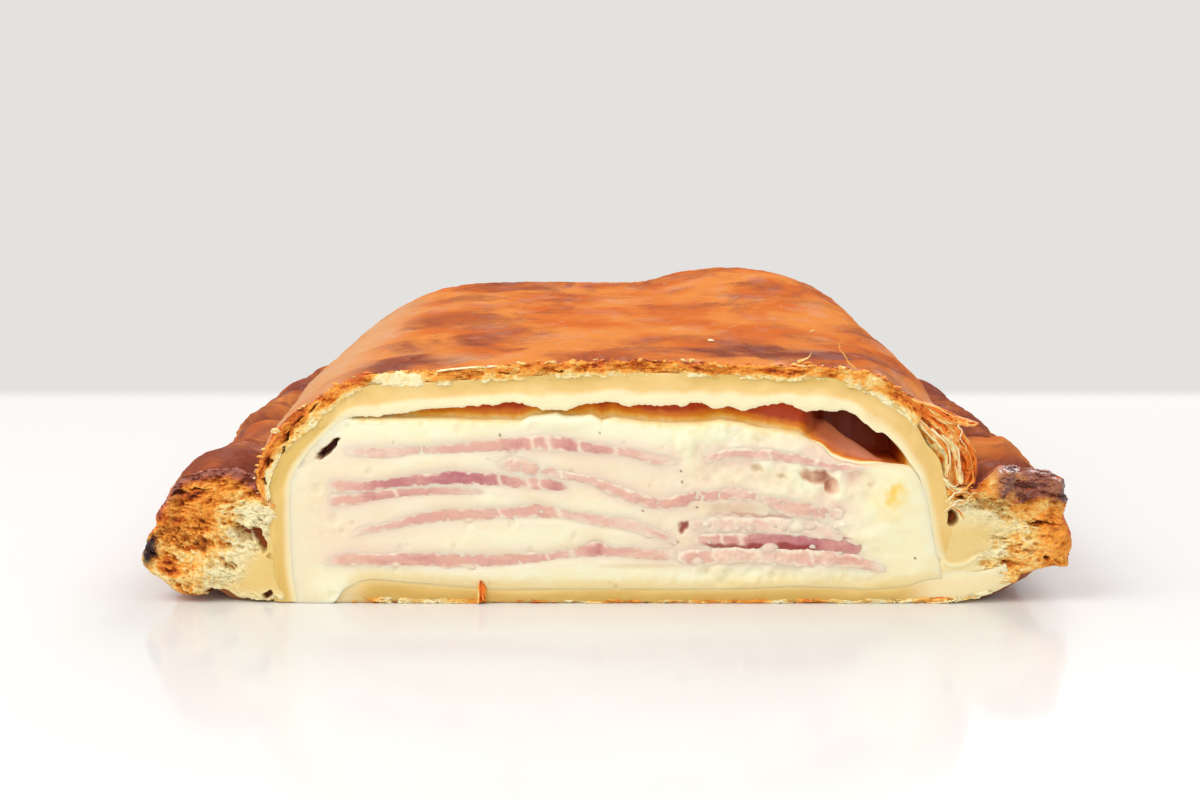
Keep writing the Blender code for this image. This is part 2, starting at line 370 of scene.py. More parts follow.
def crust_finish():
    """Egg-washed crust: orange with mauve-brown blotches, darker where baked more, glossy in patches."""
    crust = Finish("glazed_crust", Roughness=0.5, Coat_Roughness=0.2, Specular_IOR_Level=0.0)
    blotch = crust.noise(19, 5, 0.6, stretch=(1, 1.8, 1), distortion=0.8)
    fleck = crust.noise(4, 4, 0.65, stretch=(1, 1.6, 1), distortion=0.5)
    fine = crust.noise(0.9, 4, 0.7)
    wrinkle = crust.noise(1.6, 3, 0.6, stretch=(4, 1.2, 1))
    dark = blotch.ease(0.34, 0.66) * 0.6 + crust.field("bake") + (fleck - 0.5) * 0.65 + (wrinkle - 0.5) * 0.45
    dark = dark.ease(0.06, 1.03)
    pale = crust.field("pale") * (blotch.ease(0.75, 0.3) * 0.4 + fleck * 0.7 + 0.25)
    pale = (fleck.ease(0.58, 0.74) * (1 - dark) * 0.55 + pale).clamp()
    light = crust.noise(22, 3, 0.5, stretch=(1, 1.6, 1)).ease(0.38, 0.62)
    colour = crust.mix(light, shade(214, 132, 68), shade(200, 104, 50))
    colour = crust.mix(dark, colour, shade(142, 78, 60))
    colour = crust.mix((dark - 0.66).ease(0.0, 0.4) * fine.ease(0.35, 0.7) * 0.6, colour, shade(100, 48, 46))
    colour = crust.mix(pale, colour, shade(206, 156, 114))
    crust.to("Base Color", colour)
    crust.to("Roughness", fine * 0.25 + 0.35)
    gloss = crust.noise(10, 3, stretch=(1, 2, 1)).ease(0.5, 0.68)
    crust.to("Coat Weight", gloss * 0.2 + fleck.ease(0.6, 0.7) * 0.1)
    crust.bump(fleck * 0.5 + wrinkle * 0.3 + fine * 0.2, 0.55, 0.8)
    return crust


def crumb_finish():
    """Cut flaky crumb: pale cream where it is soft, golden, orange and brown as it is baked more."""
    crumb = Finish("flaky_crumb", Roughness=0.55, Subsurface_Weight=0.15, Subsurface_Scale=0.0012,
                   Subsurface_Radius=(1.0, 0.7, 0.4), Specular_IOR_Level=0.3, Coat_Roughness=0.15)
    speck = crumb.noise(0.8, 4, 0.75)
    patch = crumb.noise(3.2, 4, 0.65)
    bake = (crumb.field("bake") + (patch - 0.5) * 0.6 + (speck - 0.5) * 0.55).clamp()
    colour = crumb.mix(bake.ease(0.0, 0.3), shade(255, 242, 194), shade(252, 212, 124))
    colour = crumb.mix(bake.ease(0.2, 0.5), colour, shade(250, 166, 62))
    colour = crumb.mix(bake.ease(0.5, 0.85), colour, shade(220, 108, 36))
    colour = crumb.mix(bake.ease(0.82, 1.0), colour, shade(140, 64, 38))
    # pore: painted shade in pits, holes, slits, cracks and gaps
    colour = crumb.mix(crumb.field("pore").ease(0.05, 0.95), colour, shade(140, 62, 16))
    colour = crumb.mix(crumb.field("dough"), colour, shade(240, 206, 126))
    colour = crumb.mix(crumb.field("glaze") * patch.ease(0.3, 0.5), colour, shade(160, 92, 76))
    colour = crumb.mix(crumb.field("burnt") * speck.ease(0.2, 0.45), colour, shade(54, 34, 36))
    crumb.to("Base Color", colour)
    crumb.to("Roughness", 0.62 - crumb.field("glaze") * 0.3)
    crumb.to("Coat Weight", crumb.field("glaze") * speck.ease(0.3, 0.6))
    crumb.bump(speck, 0.35, 0.8)
    return crumb


def sheet_finish():
    """Thin loose sheets of crust: glossy orange, streaked golden and brown along their length."""
    sheet = Finish("thin_sheets", Roughness=0.4, Subsurface_Weight=0.25, Subsurface_Scale=0.0015,
                   Subsurface_Radius=(1.0, 0.6, 0.3), Specular_IOR_Level=0.3)
    streak = sheet.noise(1.3, 4, 0.7, stretch=(1, 1, 2.5))
    bake = (sheet.field("bake") + (streak - 0.5) * 0.9).clamp()
    colour = sheet.mix(bake.ease(0.0, 0.3), shade(255, 238, 182), shade(252, 184, 90))
    colour = sheet.mix(bake.ease(0.25, 0.55), colour, shade(244, 128, 36))
    colour = sheet.mix(bake.ease(0.62, 1.0), colour, shade(164, 72, 28))
    sheet.to("Base Color", colour)
    sheet.to("Roughness", streak * 0.3 + 0.3)
    sheet.bump(streak, 0.3, 0.7)
    return sheet


def dough_finish():
    """Half-baked dough: translucent yellow with a cream inner edge, waxy."""
    dough = Finish("soft_dough", Roughness=0.42, Subsurface_Weight=0.35, Subsurface_Scale=0.002,
                   Subsurface_Radius=(1.0, 0.8, 0.5), Specular_IOR_Level=0.3)
    cloud = dough.noise(5, 4, 0.6, stretch=(2, 1, 1))
    cream = (dough.field("cream") + (cloud - 0.5) * 0.25).clamp()
    colour = dough.mix(cloud.ease(0.3, 0.75), shade(244, 206, 134), shade(250, 218, 150))
    colour = dough.mix(dough.field("deep"), colour, shade(226, 190, 104))
    colour = dough.mix(cream, colour, shade(254, 240, 198))
    # brown: the base's real tan lower down, and painted shade in the lid dough's hole
    colour = dough.mix(dough.field("brown"), colour, shade(152, 84, 22))
    dough.to("Base Color", colour)
    dough.to("Roughness", dough.noise(1.5, 3) * 0.25 + 0.3)
    dough.bump(dough.noise(1.1, 4, 0.6), 0.15, 0.5)
    return dough


def sauce_finish():
    """Set cheese sauce: pale cream, pinkish by the ham, yellow where cheese melted, orange on its dry top,
    and painted shade: red-brown deep in the slit and pocket, dark in a hollow.
    """
    sauce = Finish("set_sauce", Roughness=0.4, Subsurface_Weight=0.5, Subsurface_Scale=0.003,
                   Subsurface_Radius=(1.0, 0.85, 0.7), Specular_IOR_Level=0.35)
    cloud = sauce.noise(6, 4, 0.6, stretch=(1.8, 1, 1))
    # toast_and_shade: real toasting of the dry top, and painted shade that turns it red-brown deeper in the
    # slit and the pocket
    toast_and_shade = sauce.field("toast_and_shade")
    toast_and_shade = (toast_and_shade + (sauce.noise(2.5, 4, 0.6) - 0.5) * toast_and_shade.ease(0.0, 0.3) * 0.5).clamp()
    colour = sauce.mix(cloud.ease(0.35, 0.7), shade(255, 249, 218), shade(254, 242, 204))
    colour = sauce.mix(sauce.field("pink") * 0.8, colour, shade(244, 206, 190))
    colour = sauce.mix(sauce.field("beige"), colour, shade(216, 190, 152))
    colour = sauce.mix(sauce.field("cheese"), colour, shade(252, 212, 104))
    colour = sauce.mix(toast_and_shade.ease(0.0, 0.35), colour, shade(250, 190, 72))
    colour = sauce.mix(toast_and_shade.ease(0.25, 0.6), colour, shade(226, 128, 20))
    colour = sauce.mix(toast_and_shade.ease(0.6, 1.0), colour, shade(186, 62, 6))
    colour = sauce.mix(sauce.field("meaty"), colour, shade(222, 156, 130))
    colour = sauce.mix(sauce.field("wine"), colour, shade(176, 70, 70))
    # dark: painted shade in the pocket and the left hollow, and the sauce's real specks of pepper
    colour = sauce.mix(sauce.field("dark"), colour, shade(112, 33, 5))
    sauce.to("Base Color", colour)
    sauce.to("Roughness", sauce.noise(2, 3) * 0.2 + 0.32)
    sauce.bump(sauce.noise(2.2, 3, 0.5), 0.12, 0.5)
    return sauce


def ham_finish():
    """Cooked ham seen on its cut edge: pink, streaked along the slice, with white fat and a dark rim."""
    ham = Finish("pink_ham", Roughness=0.38, Subsurface_Weight=0.35, Subsurface_Scale=0.002,
                 Subsurface_Radius=(1.0, 0.7, 0.6), Specular_IOR_Level=0.35)
    streak = ham.noise(1.6, 4, 0.65, stretch=(4, 1, 0.8))
    mottle = ham.noise(0.7, 3, 0.6)
    pink = (ham.field("pink") + (streak - 0.5) * 0.5 + (mottle - 0.5) * 0.25).clamp()
    colour = ham.mix(pink.ease(0.0, 0.5), shade(248, 222, 200), shade(232, 178, 160))
    colour = ham.mix(pink.ease(0.45, 1.0), colour, shade(194, 116, 124))
    colour = ham.mix((ham.field("fat") + (mottle - 0.5) * 0.3).clamp(), colour, shade(252, 230, 206))
    colour = ham.mix(ham.field("dark"), colour, shade(150, 44, 38))
    ham.to("Base Color", colour)
    ham.to("Roughness", mottle * 0.25 + 0.28)
    ham.bump(mottle * 0.5 + streak * 0.5, 0.18, 0.6)
    return ham


CRUST = crust_finish()
CRUMB = crumb_finish()
SHEET = sheet_finish()
DOUGH = dough_finish()
SAUCE = sauce_finish()
HAM = ham_finish()


# The lid: crust outside, its cut edge, and the soft dough under it

# Drawn on the cut: the lid's outside from its left foot over the top to its right foot
LID_OUTSIDE = (
    (268, 510), (257, 492), (254, 480), (257, 467), (264, 450), (275, 433), (290, 416), (313, 401),
    (335, 387), (359, 377), (385, 374), (408, 372), (450, 371), (500, 366), (560, 363), (620, 361),
    (700, 363), (780, 367), (850, 370), (880, 377), (900, 390), (920, 402), (942, 422), (957, 443),
    (969, 461), (969, 480), (976, 496),
)
# Drawn on the cut, in pairs: outside and inside of the crust's cut edge
CRUST_EDGE = (
    (268, 510, 271, 510), (257, 492, 269, 494), (254, 480, 270, 482), (257, 467, 277, 462),
    (264, 450, 289, 448), (275, 433, 300, 438), (290, 416, 313, 428), (313, 401, 329, 411),
    (335, 387, 347, 397), (359, 376, 368, 389), (385, 373, 390, 387), (408, 371, 415, 386),
    (450, 370, 452, 384), (500, 365, 500, 381), (560, 362, 560, 378), (620, 360, 620, 376),
    (700, 362, 700, 377), (780, 366, 780, 380), (850, 369, 846, 385), (880, 376, 868, 393),
    (900, 389, 888, 405), (916, 400, 908, 419), (926, 410, 916, 428),
)
# Drawn on the cut, in pairs: outside and inside of the soft dough
DOUGH_BAND = (
    (274, 602, 299, 602), (268, 575, 294, 575), (267, 545, 292, 545), (268, 520, 291, 520),
    (268, 500, 291, 500), (270, 482, 292, 482), (277, 462, 299, 466), (289, 447, 309, 452),
    (300, 437, 317, 443), (313, 426, 327, 433), (329, 409, 340, 422), (347, 395, 352, 417),
    (368, 386, 372, 416), (390, 384, 392, 413), (415, 383, 415, 411), (452, 381, 452, 408),
    (500, 378, 500, 404), (560, 375, 560, 409), (620, 373, 620, 403), (700, 374, 700, 404),
    (780, 377, 780, 405), (846, 381, 835, 411), (870, 390, 858, 417), (892, 401, 880, 431),
    (912, 418, 898, 446), (927, 444, 910, 463), (939, 459, 919, 477), (944, 478, 924, 492),
    (949, 500, 927, 508), (955, 512, 929, 524), (958, 526, 932, 541), (958, 540, 937, 556),
    (955, 550, 944, 561),
)
# Drawn on the cut: the torn lower edge of the lid over the slit
SLIT_ROOF = (
    (353, 419), (378, 416), (409, 412), (429, 409), (462, 407), (485, 405), (519, 403), (533, 405),
    (542, 410), (568, 410), (583, 405), (615, 402), (626, 406), (674, 405), (683, 408), (689, 402),
    (702, 403), (717, 409), (730, 407), (740, 410), (756, 408), (762, 405), (784, 403), (793, 405),
    (803, 412), (821, 411), (844, 411), (856, 415), (869, 426), (876, 434), (882, 431), (891, 435),
    (895, 446), (900, 456), (904, 465),
)


# Drawn on the cut: dark slits in the crust's edge, each as its strength, middle, half lengths, turn and
# softness, and the pale left shoulder
EDGE_SLITS = (
    (1, (298, 421), (10, 1.9), -48, 0.7), (1, (286, 436), (9, 2.2), -52, 0.7),
    (1, (283, 451), (8, 2.4), -62, 0.7), (1, (268, 464), (3.0, 7.5), 10, 0.7),
    (1, (265, 481), (6.5, 2.2), 25, 0.7), (1, (312, 409), (8, 1.4), -35, 0.7),
    (1, (812, 379), (7, 1.2), 2, 0.7), (1, (842, 383), (6, 1.2), 6, 0.7), (1, (560, 373), (9, 1.3), 0, 0.7),
    (1, (504, 374), (8, 1.2), -4, 0.7),
)
PALE_SHOULDER = ((398, 380), (36, 12), 0, 0.4)
DOUGH_HOLE = ((953, 519), (6, 9), 12, 0.45)
# On the lid from above, in millimetres across and back from the cut: browned places, each as its strength,
# middle, half lengths, turn and softness, and the calmer middle and the pale place beside them
CRUST_BROWNED = (
    (0.36, (-42, 14), (20, 15), 0, 0.6), (0.36, (38, 26), (26, 20), 0, 0.7),
    (0.34, (-22, 44), (34, 22), 0, 0.9), (0.26, (-36, 95), (28, 50), 0, 0.8),
)
CRUST_MIDDLE = ((22, 110), (30, 60), 0, 1.0)
CRUST_PALE = ((-31, 18), (9, 13), 0, 0.8)


def lid_section(y, share):
    """The lid's outside at depth y, for shares 0 to 1 of its width, as (x, z).

    At the cut it is the drawn outline. Within 45 mm it eases into a superellipse, squarer on the right,
    whose crown sags at the back and swells at both back shoulders. A second superellipse shrinks the
    back end.
    """
    drawn = on_cut(*along(LID_OUTSIDE, len(share)).T)[:, [0, 2]]
    valley = (VALLEY_Z - FOOT_Z) / (LID_CROWN_Z - FOOT_Z)
    low_right = math.asin(valley ** (RIGHT_SHOULDER / 2))
    low_left = math.asin(valley ** (LEFT_SHOULDER / 2))
    turn = np.linspace(math.pi - low_left, low_right, 1200)
    power = np.where(turn > math.pi / 2, LEFT_SHOULDER, RIGHT_SHOULDER)
    shape = np.stack([power_wave(np.cos(turn), power) * LID_HALF_WIDTH,
                      FOOT_Z + power_wave(np.sin(turn), power) * (LID_CROWN_Z - FOOT_Z)], axis=-1)
    run = np.concatenate([[0.0], np.cumsum(np.linalg.norm(np.diff(shape, axis=0), axis=1))])
    even = np.stack([np.interp(share * run[-1], run, shape[:, axis]) for axis in (0, 1)], axis=-1)
    deep = y - CUT_Y
    x, crown = even[:, 0], ease(30.0, 46.0, even[:, 1])
    right_swell = 3.0 * ease(90, 190, deep) * np.exp(-(((x - 47) / 19) ** 2))
    left_swell = 1.4 * ease(60, 200, deep) * np.exp(-(((x + 49) / 14) ** 2))
    even[:, 1] += crown * (right_swell + left_swell - 2.2 * ease(60, 200, deep) * ease(32, 8, x))
    section = drawn + (even - drawn) * ease(2.0, 45.0, deep)
    bend = max(0.0, (y - BEND_START_Y) / (LID_BACK_Y - BEND_START_Y))
    shrink = max(0.0, 1 - bend**PLAN_POWER) ** (1 / PLAN_POWER)
    section[:, 0] *= shrink
    section[:, 1] = FOOT_Z + (section[:, 1] - FOOT_Z) * (1 - 0.75 * (1 - shrink) ** 2.5)
    return section


def lid_crust():
    """The crust outside: sections from the cut to the back end, lifted by blisters along their normals.

    An inner skin of the same sections, 2.4 mm inside and thinned to nothing at both feet, closes it.
    """
    across = 300
    share = np.linspace(0.0, 1.0, across)
    front = np.concatenate([np.linspace(2.2, 7.0, 14), np.linspace(8.2, BEND_START_Y - CUT_Y, 118)])
    turn = np.linspace(0.0, math.pi / 2, 74)[1:]
    back = BEND_START_Y - CUT_Y + np.sin(turn) ** 0.8 * (LID_BACK_Y - BEND_START_Y)
    depths = CUT_Y + np.concatenate([front, back])
    outer = np.stack([np.insert(lid_section(y, share), 1, y, axis=1) for y in depths])
    normal = outward(outer)
    x, y, z = outer[..., 0], outer[..., 1], outer[..., 2]
    deep = y - CUT_Y
    side = ease(40, 62, np.abs(x))
    lift = 0.45 * grain(18, x, y, z, 3, 3) + 0.25 * np.abs(grain(6, x, y, z, 9, 3))
    lift = lift + 0.25 * np.abs(grain(2.4, x, y * 0.7, z, 21, 3)) + 0.12
    lift = lift * ease(2.0, 6.0, deep) - (0.35 + 0.6 * side) * ease(7.0, 1.5, deep)
    lift = lift + ease(5.0, 0.5, deep) * 0.35 * grain(3, x, y, z, 31, 3)
    keep = ease(0.0, 0.03, share) * ease(1.0, 0.97, share)
    outer = outer + normal * (lift * (0.25 + 0.75 * keep))[..., None]
    inner = outer - normal * (2.4 * np.sin(np.pi * share) ** 0.35)[None, :, None]
    inner[:, [0, -1]] = outer[:, [0, -1]]
    inner[-1] = outer[-1] - np.array([0.0, 2.4, 0.0])
    inner = inner[::-1][:: 6]
    inner[-1] = (inner[-1] + outer[0]) / 2
    points = np.vstack([inner, outer])
    x, y, z = points[..., 0], points[..., 1], points[..., 2]
    deep = y - CUT_Y
    wide = share[None] + 0 * x
    ragged = 8 * grain(11, x, y, z, 51, 3)
    browned = spots(x + ragged, deep + ragged, CRUST_BROWNED)
    middle = spot(x, deep, *CRUST_MIDDLE)
    wall = ease(0.25, 0.15, wide) + ease(0.84, 0.9, wide)
    valley = ease(0.03, 0.0, wide) + ease(0.97, 1.0, wide)
    patches = grain(34, x, y, z, 55, 2)
    bake = (browned - 0.15 * middle + 0.4 * valley + 0.2 * ease(180, 222, deep) + 0.25 * patches
            - (0.3 - 0.3 * grain(16, x, y, z, 59, 3)) * wall
            + 0.3 * ease(3.0, 0.5, deep) * ease(0.1, 0.5, grain(12, x, y, z, 57, 2)))
    pale = wall * ease(215, 160, deep) * (1.1 * ease(0, -40, x) + 0.3 * ease(0, 40, x))
    pale = pale + 0.5 * spot(x + 0.5 * ragged, deep, *CRUST_PALE)
    fields = {"bake": bake, "pale": np.clip(pale, 0, 1)}
    skin("lid_crust", points, CRUST, ["pastry_lid"], fields, ring=False)


def wrapped(fields):
    """Each field with its last and first columns added again, for the two points that close a ring."""
    return {label: np.concatenate([values, values[:, [-1, 0]]], axis=1) for label, values in fields.items()}


def crumb_fields(bake, pore=0.0, burnt=0.0, dough=0.0, glaze=0.0):
    """The five fields that the crumb finish reads, each spread over as many points as bake."""
    fields = {"bake": bake, "pore": pore, "burnt": burnt, "dough": dough, "glaze": glaze}
    return {label: values + 0 * bake for label, values in fields.items()}


def cut_band(name, pairs, count, across, relief, back, finish, nodes, torn=0.0, seed=0, hem=None,
             sink=0.0):
    """A band on the cut between two drawn edges, carried along both: front points by share of its width.

    relief gives its depth and fields from the drawn place, the distance along and the share across. Two
    more points at the back, drawn in towards the parcel's middle and sunk, close each ring.
    """
    path = along(pairs, count)
    share = np.linspace(0.0, 1.0, across)[None]
    px = path[:, [0]] + (path[:, [2]] - path[:, [0]]) * share
    py = path[:, [1]] + (path[:, [3]] - path[:, [1]]) * share
    if hem:
        px, py = hem(px, py, share)
    run = np.concatenate([[0.0], np.cumsum(np.hypot(*np.diff(path[:, :2], axis=0).T))])[:, None] + 0 * px
    slope = (path[:, 2:] - path[:, :2]) / np.linalg.norm(path[:, 2:] - path[:, :2], axis=1, keepdims=True)
    inner_edge, outer_edge = (grain(7, run, side, 0.0, seed, 4, 0.65) for side in (9.0, 0.0))
    rough = torn * (share**4 * inner_edge - 0.6 * (1 - share) ** 4 * outer_edge)
    px, py = px + rough * slope[:, [0]], py + rough * slope[:, [1]]
    deep, fields = relief(px, py, run, share + 0 * px)
    points = on_cut(px, py, deep)
    behind = points[:, [-1, 0]].copy()
    behind[..., 1] = CUT_Y + back
    behind[..., 0] *= 0.985
    behind[..., 2] -= sink * ease(20, 44, behind[..., 2])
    points = np.concatenate([points, behind], axis=1)
    skin(name, points, finish, nodes, wrapped(fields))


def flaky(u, v, seed):
    """Torn layers along u: depth and openness, both 0 to 1, from stretched relief with sharp low walls."""
    torn = grain(7.5, u / 2.4, v, 0.0, seed, 5, 0.68)
    thin = 1 - np.abs(grain(5, u / 2.0, v, 4.0, seed + 3, 4, 0.65))
    depth = ease(-0.35, 0.75, torn) * 0.7 + 0.3 * (1 - thin**2)
    return depth, ease(0.12, 0.6, torn) * ease(0.98, 0.8, thin)


def crust_edge_relief(px, py, run, share):
    """Torn layers: orange and brown outside, cream flecks inside, a pale shoulder and dark slits."""
    wall = ease(330, 300, px)
    depth, hollow = flaky(run, share * 16, 5)
    wx, wy = warped(px, py, 7, 3.0, 301)
    lens = spots(wx, wy, EDGE_SLITS)
    shoulder = spot(wx, wy, *PALE_SHOULDER)
    deep = 1.1 * depth * (1 - 0.7 * shoulder) + 0.5 * hollow + 1.5 * lens + 0.4 * ease(0.1, 0.0, share) - 0.35
    patch = grain(26, run, share * 10, 0.0, 17, 3)
    threads = grain(4, run / 3, share * 14, 0.0, 19, 4, 0.7)
    outer = ease(0.98 - 0.1 * wall, 0.5 - 0.1 * wall, share + 0.25 * patch)
    bake = 0.14 + 0.4 * outer + 0.15 * patch + 0.25 * (depth - 0.3) + 0.3 * threads * (0.4 + 0.6 * outer)
    bake = bake + 0.25 * ease(0.12, 0.0, share)
    bake = bake * (1 - 0.92 * shoulder) - 0.1 * ease(840, 870, px) * ease(920, 895, px)
    # pore paints the slits and the open layers dark: painted shade
    pore = np.clip(0.8 * lens + 0.35 * hollow * (0.4 + 0.4 * wall), 0, 1) * (1 - shoulder)
    return deep, crumb_fields(bake, pore)


def flake_relief(bake, deep):
    """Relief of one loose sheet of that depth and bake, crumpled along its length and golden at its edges."""
    def relief(px, py, run, share):
        """Depth and bake over the sheet."""
        crumple = grain(6, run / 5, share * 14, 0.0, int(1000 * bake), 4, 0.65)
        holes = ease(0.35, 0.6, grain(5, run / 2.5, share * 11, 3.0, int(1000 * bake) + 7, 3))
        edge = ease(0.35, 0.5, np.abs(share - 0.5))
        tone = bake + 0.55 * crumple - 0.15 * edge + 0.25 * holes
        return deep + 0.7 * crumple + 0.3 * edge + 0.9 * holes * (bake > 0.1), {"bake": tone}
    return relief


# Drawn on the cut: loose flakes by name: depth, how far back they run, bake, and pairs of edges
FLAKES = (
    ("cavity_wall", 2.4, 14.0, 0.42,
     ((911, 416, 922, 404), (924, 436, 944, 420), (936, 455, 960, 444), (943, 474, 970, 466),
      (946, 490, 974, 486))),
    ("back_sheet", 1.2, 12.0, 0.6,
     ((938, 421, 931, 429), (951, 434, 941, 441), (960, 448, 949, 454), (966, 466, 955, 468),
      (966, 486, 957, 486))),
    ("outer_sheet", 0.2, 16.0, 0.5,
     ((919, 401, 914, 410), (936, 412, 929, 421), (951, 424, 944, 434), (965, 439, 956, 446),
      (973, 453, 964, 457), (975, 466, 967, 469), (971, 481, 965, 483))),
    ("edge_sheet", -0.5, 5.0, 0.62,
     ((925, 404, 922, 408), (940, 412, 937, 418), (955, 424, 951, 429), (966, 437, 963, 442),
      (975, 452, 971, 455), (978, 468, 974, 469), (975, 484, 971, 483))),
    ("inner_sheet", 0.4, 9.0, 0.14,
     ((921, 420, 918, 424), (934, 432, 929, 437), (945, 443, 940, 448), (951, 456, 946, 459),
      (951, 468, 946, 470), (950, 478, 945, 479))),
    ("middle_sheet", 0.1, 6.0, 0.3,
     ((944, 434, 941, 438), (956, 445, 951, 449), (960, 458, 955, 460), (962, 470, 957, 472),
      (965, 482, 960, 484))),
    ("flake_tip", -1.0, 5.0, 0.5,
     ((914, 398, 919, 409), (930, 404, 932, 416), (944, 409, 944, 422), (957, 415, 957, 424),
      (968, 419.5, 968, 425.5), (978, 423, 978, 424.5))),
    ("torn_fleck_1", -0.6, 4.0, 0.02,
     ((945, 481, 948, 479), (949, 489, 953, 486), (957, 493, 960, 489), (966, 491, 968, 487))),
    ("torn_fleck_2", -0.5, 4.0, 0.06,
     ((945, 501, 948, 498), (953, 506, 956, 502), (963, 505, 964, 501), (971, 500, 972, 497))),
    ("torn_fleck_3", -0.4, 4.0, 0.02,
     ((944, 512, 946, 509), (950, 509, 952, 505), (957, 512, 960, 509), (962, 519, 965, 517))),
    # A thin pale sheet along the crust's front edge: a painted highlight
    ("painted_highlight_streak", -0.35, 2.0, -0.3,
     ((436, 371.6, 437, 370.8), (452, 370.3, 453, 369.1), (475, 368.4, 476, 367.2),
      (496, 367.2, 496, 366.5))),
    ("base_shard", -0.9, 0.3, 0.55,
     ((477.5, 602, 486.5, 602), (478.5, 593, 486, 592), (479, 586, 484.5, 585), (480, 580, 482, 580.5))),
    ("foot_flake", -0.5, 6.0, 0.16,
     ((926, 603, 927, 599), (938, 603, 938, 597), (948, 602, 949, 597), (957, 599, 957, 597))),
)
FLAKES_OF_BASE = ("base_shard", "foot_flake")
# Drawn on the cut: thin strands of torn crust: depth, half thickness, bake, and points along each
STRANDS = (
    (-0.7, 0.26, 0.04,
     ((930, 428), (938, 434), (945, 443), (950, 455), (950, 466), (947, 475), (950, 481))),
    (-0.9, 0.2, 0.12, ((949, 440), (956, 446), (958, 456), (959, 466), (963, 476), (961, 484))),
    (-1.0, 0.24, 0.5, ((922, 404), (938, 414), (951, 427), (961, 440), (968, 455), (969, 470), (966, 485))),
    (-1.3, 0.16, 0.3, ((928, 408), (942, 419), (953, 433), (958, 447), (957, 458))),
    (-1.4, 0.17, 0.0, ((957, 424), (961, 431), (959, 438), (964, 445), (966, 452))),
    (-1.3, 0.2, 0.35, ((912, 398), (930, 405), (948, 413), (964, 419), (979, 423))),
    (-1.2, 0.16, 0.62, ((934, 413), (946, 419), (958, 423), (970, 426))),
    (-0.8, 0.22, 0.0, ((945, 478), (949, 484), (955, 485), (961, 480))),
    (-0.8, 0.2, 0.0, ((949, 499), (956, 491), (964, 491), (972, 499))),
    (-0.9, 0.22, 0.55, ((960, 492), (967, 486), (972, 477), (972, 466), (975, 455))),
    (-0.7, 0.18, 0.0, ((951, 506), (957, 500), (966, 502), (975, 509))),
    (-0.7, 0.16, 0.2, ((966, 500), (970, 494), (976, 492), (982, 496))),
    (-1.0, 0.14, 0.1, ((277, 431), (273, 431), (271, 429))),
    (-1.0, 0.14, 0.2, ((279, 428), (275, 429), (271, 433))),
)


def flakes():
    """Every loose sheet of the table as a band on the cut, and every strand as a kinked fibre."""
    for name, deep, back, bake, pairs in FLAKES:
        nodes = ["pastry_base"] if name in FLAKES_OF_BASE else ["pastry_lid"]
        cut_band(name, pairs, 160, 14, flake_relief(bake, deep), back, SHEET, nodes,
                 torn=0.7 + 1.4 * bake, seed=int(90 * bake))
    stations = 14
    for number, (deep, radius, bake, points) in enumerate(STRANDS):
        place = on_cut(*along(points, stations).T, deep)
        kink = 0.3 * grain(2.5, np.arange(stations)[:, None], np.array([[0, 5, 9]]), number, 341, 2)
        fibre(f"strand_{number + 1}", place + kink, radius, bake)


def fibre(name, points, radius, bake):
    """A hair-thin fibre of crust: six-sided rings along a smooth curve, thinning to its tip."""
    path = along(points, 60)
    run = np.linspace(0.0, 1.0, 60)[:, None, None]
    turn = np.linspace(0.0, 2 * math.pi, 7)[:-1][None, :, None]
    ring = np.concatenate([np.cos(turn), 0.6 * np.sin(turn), np.sin(turn)], axis=-1)
    body = path[:, None, :] + ring * radius * (1.05 - run)
    skin(name, body, CRUMB, ["pastry_lid"], crumb_fields(bake))


def dough_relief(px, py, run, share):
    """Smooth waxy dough, with a cream inner edge that is wide over the slit, soft cells and one hole."""
    top = ease(430, 405, py)
    cream = (ease(0.5, 0.75, share + 0.08 * grain(30, run, 0.0, 0.0, 47, 2)) * top
             + 0.9 * ease(0.55, 0.95, share) * (1 - top))
    wave = grain(26, run * 0.6, share * 20, 0.0, 41, 3)
    deep = 0.2 * wave + 0.08 * grain(7, run * 0.6, share * 20, 0.0, 43, 2)
    deep = deep + 0.25 * ease(0.9, 1.0, share) * top
    wx, wy = warped(px, py, 8, 2.2, 309)
    hole = spot(wx, wy, *DOUGH_HOLE)
    deep = deep + 0.5 * ease(0.35, 0.0, share) * ease(490, 525, py) - 0.2 * cream * top
    deep = deep - deep * ease(0.6, 0.9, share) * (1 - top)
    foot = ease(502, 520, py) * ease(900, 930, px)
    deep = deep + (0.06 - deep) * foot + 4.0 * hole
    over_slit = ease(0.6, 0.05, share) * (0.6 + 0.5 * wave) * top
    at_sides = (1 - top) * (0.75 + 0.3 * wave) * (1 - 0.4 * ease(600, 900, px))
    tint = np.clip(over_slit + at_sides, 0, 1) * (1 - cream)
    # brown in the hole is painted shade
    return deep, {"cream": cream, "deep": tint, "brown": 0.85 * hole}


# Crumbs that show on the lid: place in millimetres, size and bake
CRUMBS_ON_TOP = (
    (23.5, -81.0, 48.9, 0.62, 0.0), (5.1, -102.0, 49.3, 0.8, 1.0), (47.4, -69.0, 49.6, 0.5, 0.25),
)


